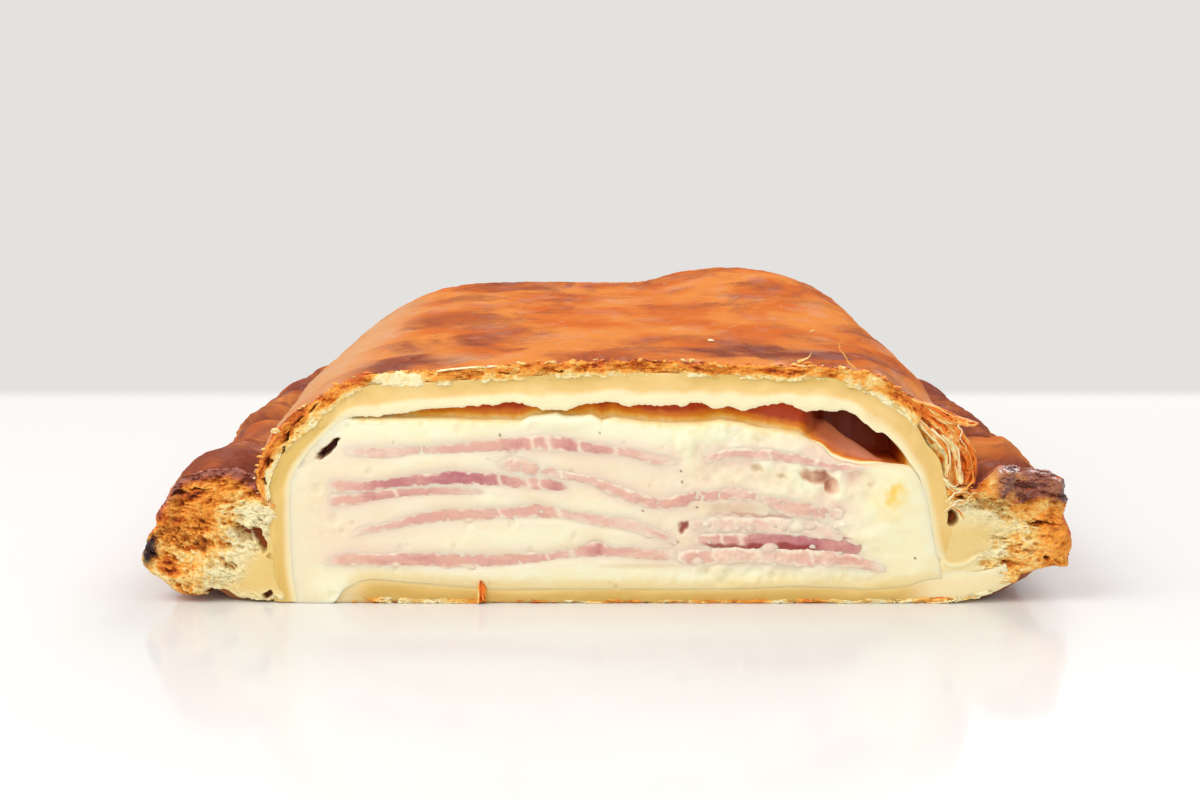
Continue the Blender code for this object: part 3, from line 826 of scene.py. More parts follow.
def chips():
    """Crumbs and chips of crust: flattened, dented balls along the lid's front edge and on its top."""
    rings, around = 6, 8
    shares, depths = np.linspace(0.2, 0.8, 400), np.linspace(0.3, 120.0, 60)
    lid = np.stack([np.insert(lid_section(CUT_Y + deep, shares), 1, CUT_Y + deep, axis=1) for deep in depths])
    which = np.arange(170)
    luck = [scatter(which, 3, 5, 400 + k) for k in range(9)]
    row = np.where(luck[0] > 0.86, 3 + 50 * luck[1], 2.2 * luck[1] ** 2).astype(int)
    place = lid[row, (luck[2] * 399).astype(int)]
    size = (0.22 + 0.6 * luck[3] ** 3) * np.where(row > 2, 0.7, 1.0)
    bake = 0.15 + 0.75 * luck[4]
    set_down = np.array(CRUMBS_ON_TOP)
    place = np.vstack([place, set_down[:, :3]])
    size = np.append(size, set_down[:, 3])[:, None, None]
    bake = np.append(bake, set_down[:, 4])
    count = len(place)
    down = np.linspace(0.0, math.pi, rings + 2)[1:-1][:, None]
    turn = np.linspace(0.0, 2 * math.pi, around + 1)[:-1][None]
    ball = [np.sin(down) * np.cos(turn), np.sin(down) * np.sin(turn), np.cos(down) + 0 * turn]
    ball = np.vstack([np.stack(ball, axis=-1).reshape(-1, 3), [[0, 0, 1]], [[0, 0, -1]]])
    each = np.arange(count)[:, None]
    dent = 1 + 0.35 * grain(0.9, ball[None, :, 0] + 9 * each, ball[None, :, 1], ball[None, :, 2], 431, 2)
    body = ball[None] * dent[..., None] * size * np.array([1.5, 1.0, 0.45])
    spin = 2 * math.pi * scatter(np.arange(count), 7, 1, 433)[:, None]
    tilt = 1.1 * scatter(np.arange(count), 8, 1, 435)[:, None] - 0.3
    x, y, z = body[..., 0], body[..., 1], body[..., 2]
    y, z = y * np.cos(tilt) - z * np.sin(tilt), y * np.sin(tilt) + z * np.cos(tilt)
    x, y = x * np.cos(spin) - y * np.sin(spin), x * np.sin(spin) + y * np.cos(spin)
    points = (place[:, None, :] + np.stack([x, y, z], axis=-1) + size * np.array([0, 0, 0.25])).reshape(-1, 3)
    index = np.arange(rings * around).reshape(rings, around)
    right = np.roll(index, -1, axis=1)
    quads = np.stack([index[:-1], right[:-1], right[1:], index[1:]], axis=-1).reshape(-1, 4)
    top, foot = rings * around, rings * around + 1
    fans = np.vstack([np.stack([right[0], index[0], np.full(around, top)], axis=-1),
                      np.stack([index[-1], right[-1], np.full(around, foot)], axis=-1)])
    step = (np.arange(count) * len(ball))[:, None, None]
    quads, fans = (quads[None] + step).reshape(-1, 4), (fans[None] + step).reshape(-1, 3)
    fields = crumb_fields(np.repeat(bake, len(ball)))
    build("crumbs", points, quads, fans, fields, CRUMB, ["pastry_lid"])


def torn_hem(px, py, share):
    """Pulls the lower edge over the slit to the drawn torn line, and the rest of the band in proportion."""
    inside = ease(356, 372, px) * ease(893, 875, px)
    edge = px[:, [-1]]
    ragged = grain(9, edge, 0.0, 0.0, 331, 3, 0.6) + 0.7 * grain(3, edge, 0.0, 0.0, 333, 3, 0.6)
    shift = (level(SLIT_ROOF, px) - py[:, [-1]] + ragged) * inside * share**2
    return px, py + np.where(py < 440, shift, 0.0)


# Drawn on the cut: a curled fibre and a splinter that stand up from the crust
CURL = ((856, 369), (850, 364), (846, 357), (840, 348), (844, 337))
SPLINTER = ((799, 362), (805, 360), (810, 357), (812, 352))


def lid_pieces():
    """Everything of the lid: its crust, the cut edge and the dough as bands on the cut, and loose bits."""
    lid = ["pastry_lid"]
    lid_crust()
    cut_band("crust_cut_edge", CRUST_EDGE, 900, 30, crust_edge_relief, 5.0, CRUMB, lid,
             torn=2.4, seed=61, sink=1.0)
    cut_band("lid_dough", DOUGH_BAND, 900, 48, dough_relief, 190.0, DOUGH, lid,
             torn=0.3, seed=63, hem=torn_hem, sink=7.0)
    flakes()
    chips()
    fibre("curled_fibre", on_cut(*np.array(CURL).T, 1.5), 0.22, 0.45)
    fibre("splinter", on_cut(*np.array(SPLINTER).T, 1.0), 0.3, 0.3)


# The filling: ham slices in cheese sauce

# Drawn on the cut, for each slice: its node, upper edge, lower edge, pinkness along it, raggedness, fat gaps
HAM_SLICES = (
    ("ham_4_left",
     ((343, 449), (384, 447), (430, 446), (478, 441), (519, 438), (549, 434), (577, 440), (609, 446),
      (651, 452), (683, 460)),
     ((343, 455), (384, 458), (430, 454), (481, 452), (519, 450), (551, 450), (583, 452), (626, 456),
      (657, 465), (683, 464)),
     ((343, 0.05), (370, 0.28), (430, 0.34), (519, 0.52), (549, 0.6), (600, 0.55), (640, 0.38), (683, 0.1)),
     1.0, (532, 548, 580, 615)),
    ("ham_4_right",
     ((700, 456), (734, 450), (766, 451), (800, 456), (830, 464), (870, 468)),
     ((700, 461), (734, 456), (766, 459), (800, 463), (830, 469), (870, 472)),
     ((700, 0.1), (734, 0.25), (766, 0.2), (800, 0.35), (830, 0.3), (870, 0.1)),
     2.0, (770, 816)),
    ("ham_3_left",
     ((326, 479), (361, 482), (400, 477), (450, 470), (494, 474), (519, 477), (551, 478), (572, 487)),
     ((326, 492), (358, 492), (390, 488), (450, 484), (494, 486), (519, 488), (551, 491), (572, 491)),
     ((326, 0.2), (350, 0.45), (372, 0.8), (450, 0.82), (500, 0.75), (535, 0.55), (560, 0.75), (572, 0.6)),
     1.2, (500, 528, 540)),
    ("ham_3_fold", ((326, 496), (358, 494), (390, 490), (430, 487), (487, 490)),
     ((326, 506), (358, 504), (372, 501), (403, 496), (450, 494), (487, 494)),
     ((326, 0.3), (358, 0.55), (372, 0.72), (403, 0.65), (440, 0.4), (487, 0.15)),
     1.2, (395,)),
    ("ham_3_right",
     ((492, 461), (520, 459), (545, 467), (570, 474), (592, 478), (619, 487), (645, 496), (664, 501),
      (689, 493), (715, 490), (739, 488), (760, 496), (790, 500), (818, 507), (843, 511)),
     ((492, 470), (519, 473), (558, 477), (593, 484), (615, 495), (630, 502), (648, 508), (671, 507),
      (708, 501), (735, 497), (760, 503), (780, 512), (800, 516), (818, 518), (843, 519)),
     ((492, 0.1), (520, 0.22), (560, 0.24), (600, 0.38), (645, 0.32), (664, 0.4), (690, 0.58), (715, 0.5),
      (739, 0.3), (760, 0.3), (800, 0.38), (843, 0.45)),
     1.7, (560, 762)),
    ("ham_2_left",
     ((348, 531), (384, 525), (416, 515), (440, 509), (481, 509), (514, 508), (538, 502), (558, 509),
      (593, 514), (630, 518), (651, 528), (678, 541)),
     ((348, 536), (390, 528), (430, 522), (475, 520), (519, 518), (560, 518), (602, 527), (632, 531),
      (657, 537), (678, 545)),
     ((348, 0.05), (384, 0.35), (416, 0.45), (440, 0.42), (500, 0.44), (548, 0.46), (565, 0.22),
      (600, 0.14), (640, 0.16), (664, 0.45), (678, 0.4)),
     1.4, (500, 560)),
    ("ham_2_right", ((688, 519), (740, 519), (800, 520), (844, 528)),
     ((688, 531), (747, 531), (800, 534), (848, 541)), ((688, 0.3), (705, 0.12), (800, 0.12), (848, 0.2)),
     1.6, (735, 790)),
    ("ham_2_fold", ((692, 536), (747, 535), (800, 537), (859, 544)),
     ((692, 544), (747, 547), (800, 548), (859, 553)),
     ((692, 0.35), (720, 0.5), (747, 0.75), (790, 0.8), (859, 0.8)),
     1.4, (722, 742)),
    ("ham_1_left",
     ((324, 558), (339, 554), (390, 554), (450, 553), (494, 554), (549, 553), (577, 547), (598, 541),
      (611, 547), (651, 549), (677, 547)),
     ((324, 566), (365, 564), (416, 565), (450, 568), (494, 567), (532, 563), (558, 559), (583, 557),
      (630, 557), (677, 563)),
     ((324, 0.2), (340, 0.5), (450, 0.52), (545, 0.5), (575, 0.22), (598, 0.7), (612, 0.4), (640, 0.3),
      (677, 0.25)),
     1.2, (548, 572)),
    ("ham_1_right",
     ((679, 552), (728, 550), (800, 551), (818, 552), (856, 557), (884, 567)),
     ((679, 563), (700, 564), (740, 561), (800, 565), (850, 565), (884, 573)),
     ((679, 0.5), (700, 0.4), (740, 0.18), (800, 0.25), (856, 0.35), (884, 0.2)),
     2.0, (715, 760, 812)),
)
# How far the slices and the sauce run back from the cut, in millimetres
HAM_BACK, SAUCE_BACK = 189.0, 200.0
# Drawn on the cut: the sauce's upper edge, and its lower edge on the base
SAUCE_TOP = (
    (282, 540), (285, 475), (296, 455), (312, 438), (330, 422), (345, 415), (353, 419), (378, 419),
    (430, 419), (481, 421), (522, 421), (530, 417), (545, 415), (556, 413.5), (565, 417), (580, 417),
    (591, 415.5), (602, 421), (613, 418), (638, 422), (676, 424), (700, 424), (721, 421), (743, 424),
    (759, 428), (779, 431), (799, 434), (809, 440), (822, 446), (832, 457), (841, 461), (851, 463),
    (860, 465), (872, 464), (885, 464), (904, 465), (914, 468), (922, 482), (932, 505), (940, 545),
)
SAUCE_FOOT = (
    (282, 603), (335, 603), (344, 588), (371, 582), (430, 587), (494, 592), (630, 592), (728, 592),
    (800, 589), (869, 592), (908, 589), (927, 582), (940, 581),
)
# Drawn on the cut: the sauce's left and right borders with the dough, as height and place across
SAUCE_LEFT = (
    (417, 352), (422, 340), (433, 327), (443, 317), (452, 309), (466, 299), (482, 292), (500, 291),
    (545, 292), (575, 294), (602, 299),
)
SAUCE_RIGHT = (
    (431, 880), (446, 898), (463, 910), (477, 919), (492, 924), (508, 927), (524, 929), (541, 932),
    (556, 935), (574, 939), (590, 945),
)
# Drawn on the cut, each as its middle, half lengths, turn and softness
LEFT_HOLLOW = ((328.5, 449), (17, 4.2), -41, 0.35)
RIGHT_HOLLOW = ((815, 477), (20, 9), 14, 0.5)
LOW_HOLLOW = ((833, 487), (9, 12), -12, 0.5)
BEIGE_LENS = ((736, 508), (72, 9), 2, 0.9)
TAN_STREAK = ((640, 566), (60, 4), 0, 0.8)
RED_SEAM = ((762, 515.6), (84, 2.4), 1, 1.0)
YELLOW_FOOT = ((940, 572), (30, 20), 0, 1.0)
# Drawn on the cut, each as its strength, middle, half lengths, turn and softness: dark red slits between torn
# slices, rolls of sauce, beige spots and melted cheese
RED_SLITS = (
    (1, (684, 527), (6, 9), 20, 0.7), (1, (822, 537), (36, 2.6), 7, 0.7),
    (1, (738, 547), (30, 3.2), -6, 0.7), (1, (796, 549), (24, 2.2), 4, 0.7),
    (1, (664, 538), (18, 2.8), 24, 0.7), (1, (596, 544), (9, 3.4), 0, 0.7),
)
SAUCE_ROLLS = ((1, (686, 445), (13, 17), 0, 0.6), (0.5, (560, 423), (40, 9), 0, 0.9))
BEIGE_SPOTS = (
    (1, (757, 468), (12, 5), 0, 0.8), (0.8, (782, 475), (7, 4), 0, 0.8), (0.7, (871, 484), (6, 6), 0, 0.9),
)
MELTED = (
    (0.55, (896, 495), (16, 14), 0, 0.55), (0.3, (890, 500), (28, 34), 0, 1.0),
    (0.3, (845, 575), (7, 4), 0, 1.0),
)
# Drawn on the cut: specks of pepper
PEPPER = ((681, 471), (682, 482), (697, 507), (643, 511), (500, 435), (600, 433), (915, 558))
# Height of the ham in the pocket over the sauce, in millimetres, at drawn places across it
POCKET_HAM = (
    (800, 0.0), (818, 4.0), (828, 5.0), (840, 5.2), (850, 4.5), (860, 3.7), (869, 3.0), (877, 2.2),
    (883, 0.9), (887, 0.0), (910, 0.0),
)


def ham_nearness(px, py, reach):
    """How near a drawn place is to any slice, 1 on it and fading over reach pixels: plain and by pinkness."""
    near, pinkish = 0 * px, 0 * px
    for upper, lower, tone in (row[1:4] for row in HAM_SLICES):
        outside = np.maximum(np.maximum(level(upper, px) - py, py - level(lower, px)), 0.0)
        sides = ease(upper[0][0] - 8, upper[0][0] + 6, px) * ease(upper[-1][0] + 8, upper[-1][0] - 6, px)
        here = sides * np.exp(-((outside / reach) ** 2))
        near, pinkish = np.maximum(near, here), np.maximum(pinkish, here * (0.3 + 0.7 * level(tone, px)))
    return near, pinkish


def openings(px):
    """Where air lies over the sauce, and where that air is the deep pocket: 0 to 1 across the cut."""
    return ease(350, 362, px) * ease(910, 898, px), ease(800, 832, px) * ease(914, 902, px)


def sauce_front(px, py, share, foot, top):
    """The front's depth and fields at drawn places, share of the way from the foot to the top.

    Smears, knobs and small lumps roughen it, less over the slices and near its borders. There it lies flush
    with the dough and then sinks under it. Bubbles, hollows and slits push it inwards.
    """
    air, pocket = openings(px)
    right = ease(640, 740, px)
    torn_zone = right * ease(885, 850, px)
    near = ham_nearness(px, py, 3.5)[0]
    halo = ham_nearness(px, py, 9.0)[1]
    smear = grain(40, px * 0.6, py, 0.0, 71, 3, 0.4)
    knobs = grain(15, px, py, 0.0, 77, 2, 0.4)
    small = grain(6, px, py, 0.0, 79, 2, 0.5)
    bubbles = pores(13, px, py, 81, 0.12) * (1 - right + torn_zone)
    blobs = pores(11, px, py, 85, 0.55, 1.5) * ease(672, 700, px) * ease(868, 846, px)
    blobs = blobs * ease(516, 524, py) * ease(572, 562, py)
    wx, wy = warped(px, py, 7, 2.2, 305)
    lens = spot(wx, py, *BEIGE_LENS) * ease(497, 503, py)
    lumps = (0.3 * torn_zone + 0.12 * right) * knobs + (0.05 + 0.1 * torn_zone) * small
    left_edge, right_edge = (np.interp(py, *np.array(edge).T) for edge in (SAUCE_LEFT, SAUCE_RIGHT))
    on_base = ease(345, 375, px)
    border = ease(left_edge + 16, left_edge + 1, px) + ease(right_edge - 16, right_edge - 1, px)
    border = np.maximum(border, ease(12, 3, foot - py) * on_base)
    under = ease(left_edge - 0.8, left_edge - 8, px) + ease(right_edge + 0.8, right_edge + 8, px)
    under = np.maximum(under, ease(2.8, 0.0, foot - py) * on_base)
    calm = (1 - 0.9 * near) * (1 - 0.8 * lens) * ease(938, 895, px) * (1 - 0.9 * border)
    hollow = spot(wx, wy, *LEFT_HOLLOW)
    dent = np.maximum(spot(wx, wy, *RIGHT_HOLLOW), 0.9 * spot(wx, wy, *LOW_HOLLOW)) * (0.75 + 0.35 * knobs)
    slits = np.clip(spots(wx, wy, RED_SLITS), 0, 1)
    rolls = spots(px, py, SAUCE_ROLLS)
    deep = (0.28 * smear + lumps) * calm + 0.3 * bubbles + 0.05 * near - 0.45 * blobs - 0.1
    deep = deep + 5.0 * hollow + 3.0 * dent + slits - 0.8 * rolls
    deep = deep + ease(0.975, 1.0, share) ** 2 + 0.07 * border + 0.7 * under

    melted = spots(wx, wy, MELTED) + 0.2 * spot(px, py, *YELLOW_FOOT) + 0.12 * ease(845, 885, px)
    pepper = sum(spot(px, py, place, (1.6, 1.4)) for place in PEPPER)
    rosy = ease(430, 450, py) * ease(572, 556, py) * ease(880, 840, px) * ease(290, 335, px)
    pink = 0.5 * halo + rosy * (0.34 + 0.35 * right * knobs + 0.25 * smear) - 0.5 * rolls
    low_tan = ease(19, 4, foot - py + 2 * small) * ease(338, 362, px) * ease(960, 900, px)
    lip = ease(9, 0, py - top + 2 * small) * air * (1 - pocket)
    lip = lip * (1 - ease(518, 530, px) * ease(604, 592, px))
    left_side = ease(340, 305, px)
    beige = 0.55 * lens + spots(wx, wy, BEIGE_SPOTS) + 0.35 * spot(px, py, *TAN_STREAK) + 0.3 * low_tan
    wine = 0.9 * slits + 0.5 * spot(px, wy, *RED_SEAM) + 0.25 * dent * (0.5 + knobs)
    fields = {
        "pink": pink + 0.16 * left_side,
        "beige": beige + 0.12 * left_side,
        "cheese": 0.95 * melted * (0.8 + 0.4 * small) + 0.42 * low_tan,
        "meaty": 0.75 * dent + 0.3 * ease(6, 0, py - top) * pocket,
        "wine": wine,
        "toast_and_shade": 0.15 * lip,
        # dark in the left hollow is painted shade; on the pepper it is the specks' own colour
        "dark": ease(0.25, 0.9, hollow) + 0.85 * pepper,
    }
    return deep, {label: np.clip(values, 0, 1) for label, values in fields.items()}


def sauce_top(px, top, edge):
    """The dry top: rows from the front's edge back through the air, then up to the lid, with its fields.

    The floor keeps the height of the drawn edge, smoothed in the pocket, where a rounded hill of ham
    stands on it. The last stretch of each row climbs to a superellipse under the lid.
    """
    air, pocket = openings(px)
    reach = 2.5 + air * (3.5 + 13.0 * pocket) + air * 1.2 * grain(60, px, 0.0, 0.0, 91, 2)
    way = np.linspace(0.0, 1.0, 56)[None] ** 1.3
    back = way * reach
    depth = edge * ease(4.0, 0.0, back) + back
    rim = on_cut(px, top)[..., 2]
    even = sum(np.interp(px + shift, *np.array(SAUCE_TOP).T) for shift in (-16, -8, 0, 8, 16)) / 5
    even = on_cut(px, even)[..., 2]
    x = on_cut(px, top)[..., 0] + 0 * depth
    floor = rim + 0.25 * grain(4.5, x, depth, 0.0, 95, 3) * ease(0.0, 1.5, back) + 0.05 * back * (1 - pocket)
    floor = floor + (even - rim) * pocket * ease(0.0, 2.5, back)
    hill = sum(level(POCKET_HAM, px + 0.8 * back + shift) for shift in (-6, -2, 2, 6)) / 4
    lobe = np.sin(np.pi / 2 * np.clip(back / 7.0, 0, 1)) ** 0.8 * ease(15.0, 10.0, back)
    folds = grain(6, x + 0.4 * back, 0.6 * back, 0.0, 97, 2)
    floor = floor + pocket * (hill * lobe * (1 + 0.08 * folds) + 0.15 * folds * ease(1, 4, back))
    section = np.clip(1 - (np.abs(x) / 65.5) ** LEFT_SHOULDER, 0, 1) ** (1 / LEFT_SHOULDER)
    roof = np.maximum(FOOT_Z + 38.2 * section, floor)
    wall = ease(0.5, 1.0, way) * (1 - pocket) + ease(0.85, 1.0, way) * pocket
    z = floor + (roof - floor) * wall
    depth = depth + (0.7 * wall + 0.3 * ease(2, 5, back)) * pocket * grain(5, x, depth, z, 99, 3)

    # toast_and_shade rises towards the lid as painted shade deeper in the slit, and is nearly full in the
    # pocket as painted shade of its dark void
    toast_and_shade = ease(-0.4, 0.8, back) * air * (0.16 + 0.84 * ease(-0.3, 3.2, z - rim)) * (1 - pocket)
    toast_and_shade = toast_and_shade + pocket * ease(0.1, 0.7, back) * (0.8 + 0.2 * ease(5, 12, back))
    on_hill = ease(0.2, 1.2, hill)
    meat = pocket * ease(0.3, 1.6, back) * on_hill * ease(13, 8, back)
    meat = meat * (0.36 + 0.2 * ease(828, 858, px) + 0.16 * folds)
    shadow = pocket * (0.25 * ease(10, 15, back) + 0.2 * ease(0.8, 0.1, hill) * ease(1.5, 4.0, back))
    shadow = shadow + pocket * ease(0.8, 2.5, back) * on_hill * (0.5 - 0.3 * ease(825, 850, px))
    fields = {"meaty": np.clip(meat, 0, 1), "wine": 0.25 * meat, "toast_and_shade": toast_and_shade,
              "dark": np.clip(shadow, 0, 1)}
    return np.stack([x, CUT_Y + depth, z], axis=-1), fields


def sauce():
    """The sauce: columns across the cut, each a ring up its front, back along its dry top to the lid, and
    through the parcel to two points at the back. The back end is 7 % narrower.
    """
    px = np.linspace(283.5, 948.0, 555)[:, None]
    share = np.linspace(0.0, 1.0, 118)[None]
    foot, top = level(SAUCE_FOOT, px), level(SAUCE_TOP, px)
    top = np.where((px > 350) & (px < 800), np.interp(px, *np.array(SAUCE_TOP).T), top)
    py = foot + (top - foot) * share
    px_front = px + 0 * py
    deep, front_fields = sauce_front(px_front, py, share, foot, top)
    front = on_cut(px_front, py, deep)
    dry, top_fields = sauce_top(px, top, deep[:, [-1]])
    behind_top = dry[:, [-1]] * np.array([0.93, 1.0, 0.93])
    behind_top[..., 1] = CUT_Y + SAUCE_BACK
    behind_foot = front[:, [0]] * np.array([0.93, 1.0, 1.0])
    behind_foot[..., 1:] = CUT_Y + SAUCE_BACK, FOOT_Z
    fields = {}
    for label, on_front in front_fields.items():
        on_top = np.broadcast_to(top_fields.get(label, 0.0), dry.shape[:2])
        fields[label] = np.concatenate([on_front, on_top, on_top[:, [-1]], on_front[:, [0]]], axis=1)
    points = np.concatenate([front, dry, behind_top, behind_foot], axis=1)
    skin("cheese_sauce_cut", points, SAUCE, ["cheese_sauce"], fields)


def ham_piece(name, upper, lower, tone, ragged, fat, seed):
    """One slice: columns across, each a ring of its crowned front edge and two points at the back.

    The front stands a little proud in the middle of its thickness and dips into the sauce at both edges.
    """
    left, right = upper[0][0], upper[-1][0]
    columns, across = int((right - left) * 1.3), 26
    px = np.linspace(left, right, columns)[:, None]
    share = np.linspace(0.0, 1.0, across)[None]
    high, low = level(upper, px), level(lower, px)
    place = (px - left) / (right - left)
    ends = np.sqrt(np.clip(1 - np.abs(2 * place - 1) ** 24, 0.02, 1))
    middle, half = (high + low) / 2, (low - high) / 2 * ends + 2.2
    tear = ease(1.2, 2.2, ragged)
    wobble = 0.5 + 0.9 * tear
    high = middle - half + wobble * grain(11, px, 0.0, 0.0, seed, 4, 0.6)
    low = middle + half + wobble * grain(11, px, 0.0, 9.0, seed + 5, 4, 0.6)
    py = high + (low - high) * share
    tip = ease(0.9, 1.0, np.abs(2 * place - 1))
    px = px + 0 * py + 1.5 * ragged * grain(10, 0.0, py, 0.0, seed + 2, 2) * tip
    across_rim = np.abs(2 * share - 1)
    deep = 0.06 - (0.16 + 0.15 * tear) * (1 - across_rim**4) * ends
    deep = deep + (0.02 + 0.2 * tear) * grain(9, px, py, 0.0, seed + 7, 3)
    deep = deep + (0.02 + 0.08 * tear) * grain(3.5, px, py, 0.0, seed + 11, 2)
    gaps = 0 * px
    for number, at in enumerate(fat):
        aside = px - at - 0.3 * (py - middle) - 1.5 * grain(5, py, at, 0.0, 3, 2)
        gaps = gaps + np.exp(-((aside / (2.0 + 1.2 * (number % 2))) ** 2))
    streaks = ease(0.1, 0.8, grain(18, px, py * 4, 0.0, seed + 13, 3))
    fibres = ease(0.15, 0.7, grain(5, px, py * 0.4, 0.0, seed + 15, 3))
    points = on_cut(px, py, deep)
    behind = points[:, [-1, 0]].copy()
    behind[..., 1] = CUT_Y + HAM_BACK
    behind[..., 0] *= 0.9
    points = np.concatenate([points, behind], axis=1)
    pink = level(tone, px)
    blur = 0.3 * grain(6, px, py, 0.0, seed + 19, 3)
    soft = ease(0.4, 0.95, across_rim + blur) + tip
    pink = pink + 0.14 * grain(30, px, py, 0.0, seed + 17, 3) + 0.1 * fibres
    fields = {"pink": np.clip(pink + 0 * py, 0, 1), "dark": 0 * px,
              "fat": np.clip(0.75 * gaps + (0.35 * streaks + 0.2 * fibres) * (1 - pink) + soft, 0, 1)}
    if name == "ham_2_fold":
        line = ease(0.5, 0.7, share + 0.2 * grain(14, px, 0.0, 0.0, 401, 3))
        fields["dark"] = 0.85 * line * ease(698, 712, px) * ease(826, 808, px)
        fields["dark"] = fields["dark"] + 0.3 * ease(0.2, 0.0, share) * ease(800, 820, px)
        fields["fat"] = fields["fat"] * ease(760, 740, px) + 0.2 * soft * ease(740, 760, px)
    skin(f"{name}_slice", points, HAM, [name], wrapped(fields))


def filling():
    """The sauce and every slice of the table, each with its own seed."""
    sauce()
    for number, slice_facts in enumerate(HAM_SLICES):
        ham_piece(*slice_facts, seed=200 + 23 * number)


# The base sheet and the crimped rim

# Drawn on the cut, in pairs: upper and lower edge of the base sheet, and of its browned skin
BASE_BAND = (
    (337, 592, 336, 603), (345, 584, 345, 603), (371, 579, 371, 603), (400, 581, 400, 603),
    (430, 584, 430, 603), (494, 588, 494, 603), (560, 589, 560, 603), (630, 588, 630, 603),
    (728, 589, 728, 603), (800, 586, 800, 603), (869, 588, 869, 603), (905, 584, 905, 603),
    (925, 576, 925, 603), (943, 573, 945, 602), (960, 571, 960, 600), (978, 572, 980, 597),
    (994, 569, 997, 591), (1006, 564, 1012, 584),
)
BASE_SKIN = (
    (352, 600, 352, 603.5), (371, 598, 371, 603.5), (430, 599, 430, 603.5), (494, 599.5, 494, 603.5),
    (560, 600, 560, 603.5), (630, 600, 630, 603.5), (728, 600, 728, 603.5), (800, 599.5, 800, 603.5),
    (869, 599, 869, 603.5), (905, 598, 905, 603), (943, 597, 945, 602.5), (960, 596, 960, 600.5),
    (978, 593, 980, 597.5), (990, 588, 992, 592.5),
)
# Drawn on the cut: outlines of the rim's two cut ends
LEFT_RIM = (
    (252, 481), (242, 475), (232, 472), (212, 472), (193, 475), (178, 481), (170, 490), (165, 501),
    (157, 512), (154, 520), (154, 528), (148, 535), (143, 548), (140, 558), (143, 568), (153, 577),
    (164, 585), (172, 591), (181, 596), (193, 598), (204, 596), (216, 593), (227, 593), (238, 599),
    (262, 600), (282, 602), (286, 575), (286, 540), (282, 515), (270, 500), (262, 490),
)
RIGHT_RIM = (
    (944, 490), (956, 489), (966, 487), (976, 493), (986, 483), (1000, 472), (1016, 469), (1030, 469),
    (1047, 473), (1061, 478), (1067, 487), (1066, 494), (1070, 501), (1067, 513), (1068, 521), (1072, 531),
    (1074, 545), (1072, 558), (1070, 567), (1055, 568), (1045, 569), (1032, 573), (1022, 577), (1018, 584),
    (1008, 586), (997, 590), (991, 596), (975, 597), (952, 599), (938, 598), (937, 576), (942, 556),
    (948, 530), (946, 505),
)


# The middle of each cut end, and where the lid's foot stands beside it
LEFT_MIDDLE, LEFT_FOOT = (212, 541), 280
RIGHT_MIDDLE, RIGHT_FOOT = (1003, 535), 938
# Drawn on the left end, each as its middle, half lengths, turn and softness
OLIVE_PIT = ((242, 534), (14, 6.5), 47, 0.5)
BROWN_PIT = ((260, 539), (16, 6.5), 58, 0.45)
# The same with a strength before it: slots by the lid's foot, cracks, browned spots and burnt places
LEFT_SLOTS = ((1, (272, 558), (6, 2.2), 40, 0.5), (1, (268, 594), (7, 4.5), 0, 0.5))
# The last crack is the gap along the rim's foot over the board; its darkness is painted shadow
LEFT_CRACKS = (
    (1, (177, 494), (11, 2.4), -14, 0.6), (1, (199, 489), (15, 1.6), -4, 0.7),
    (1, (214, 592), (14, 4), 0, 0.6),
)
LEFT_BROWNED = (
    (1, (168, 568), (18, 11), 35, 0.6), (1, (161, 520), (8, 12), 0, 0.6), (1, (176, 523), (9, 8), 0, 0.6),
    (1, (190, 549), (9, 5), 10, 0.6), (1, (190, 494), (20, 5), -8, 0.6), (1, (152, 552), (7, 20), 10, 0.6),
)
LEFT_BURNT = ((1, (149, 551), (12, 20), 15, 0.6), (0.3, (176, 494), (12, 8), -20, 0.8))
# Drawn on the right end: the seam between the sheets, a tan pocket, a hole, an orange bump and cavities
RIGHT_SEAM = ((920, 538), (936, 555), (950, 566), (964, 565), (975, 558), (990, 553), (1010, 550))
TAN_POCKET = ((985, 564), (13, 6.5), -12, 0.7)
RIGHT_HOLE = ((953, 519), (6.5, 9), 12, 0.45)
ORANGE_BUMP = ((1037, 513), (11, 8), 0, 0.5)
RIGHT_CAVITIES = (
    (1, (954, 478), (6, 6), 0, 0.5), (1, (960, 489), (8, 3.5), -8, 0.5), (1, (963, 500), (8, 3), 10, 0.5),
    (1, (1042, 524), (18, 2.0), 4, 0.6), (1, (1047, 557), (5, 3), 0, 0.5),
)
# The crimped rim's section, as reach outwards from its centre line and height, in millimetres
RIM_PROFILE = (
    (-13, 16), (-11.5, 22), (-8.5, 23.4), (-5, 25.4), (-1, 26.4), (4, 25), (8.4, 21), (10.6, 14.5),
    (10.2, 10.5), (10.4, 7), (8.2, 3), (3, 0.9), (-5, 0.1), (-13, 0.1),
)


def base_relief(px, py, run, share):
    """Soft dough, cream at its top and tan and translucent lower down."""
    pale = ease(895, 940, px)
    low = ease(0.15, 0.75, share + 0.1 * grain(40, px, 0.0, 0.0, 121, 2))
    wave = grain(26, px, py, 0.0, 125, 2)
    deep = 0.12 * wave * ease(0.1, 0.4, share) + 0.25 * ease(0.85, 1.0, share) + 0.04
    cream = np.clip(0.3 * ease(0.35, 0.0, share) + 0.75 * pale + 0.6 * ease(372, 345, px), 0, 1)
    tint = np.clip((0.62 + 0.38 * low) * (1 + 0.15 * wave) * (1 - 0.75 * pale), 0, 1)
    return deep, {"cream": cream, "deep": tint, "brown": 0.17 * low * (1 - pale)}


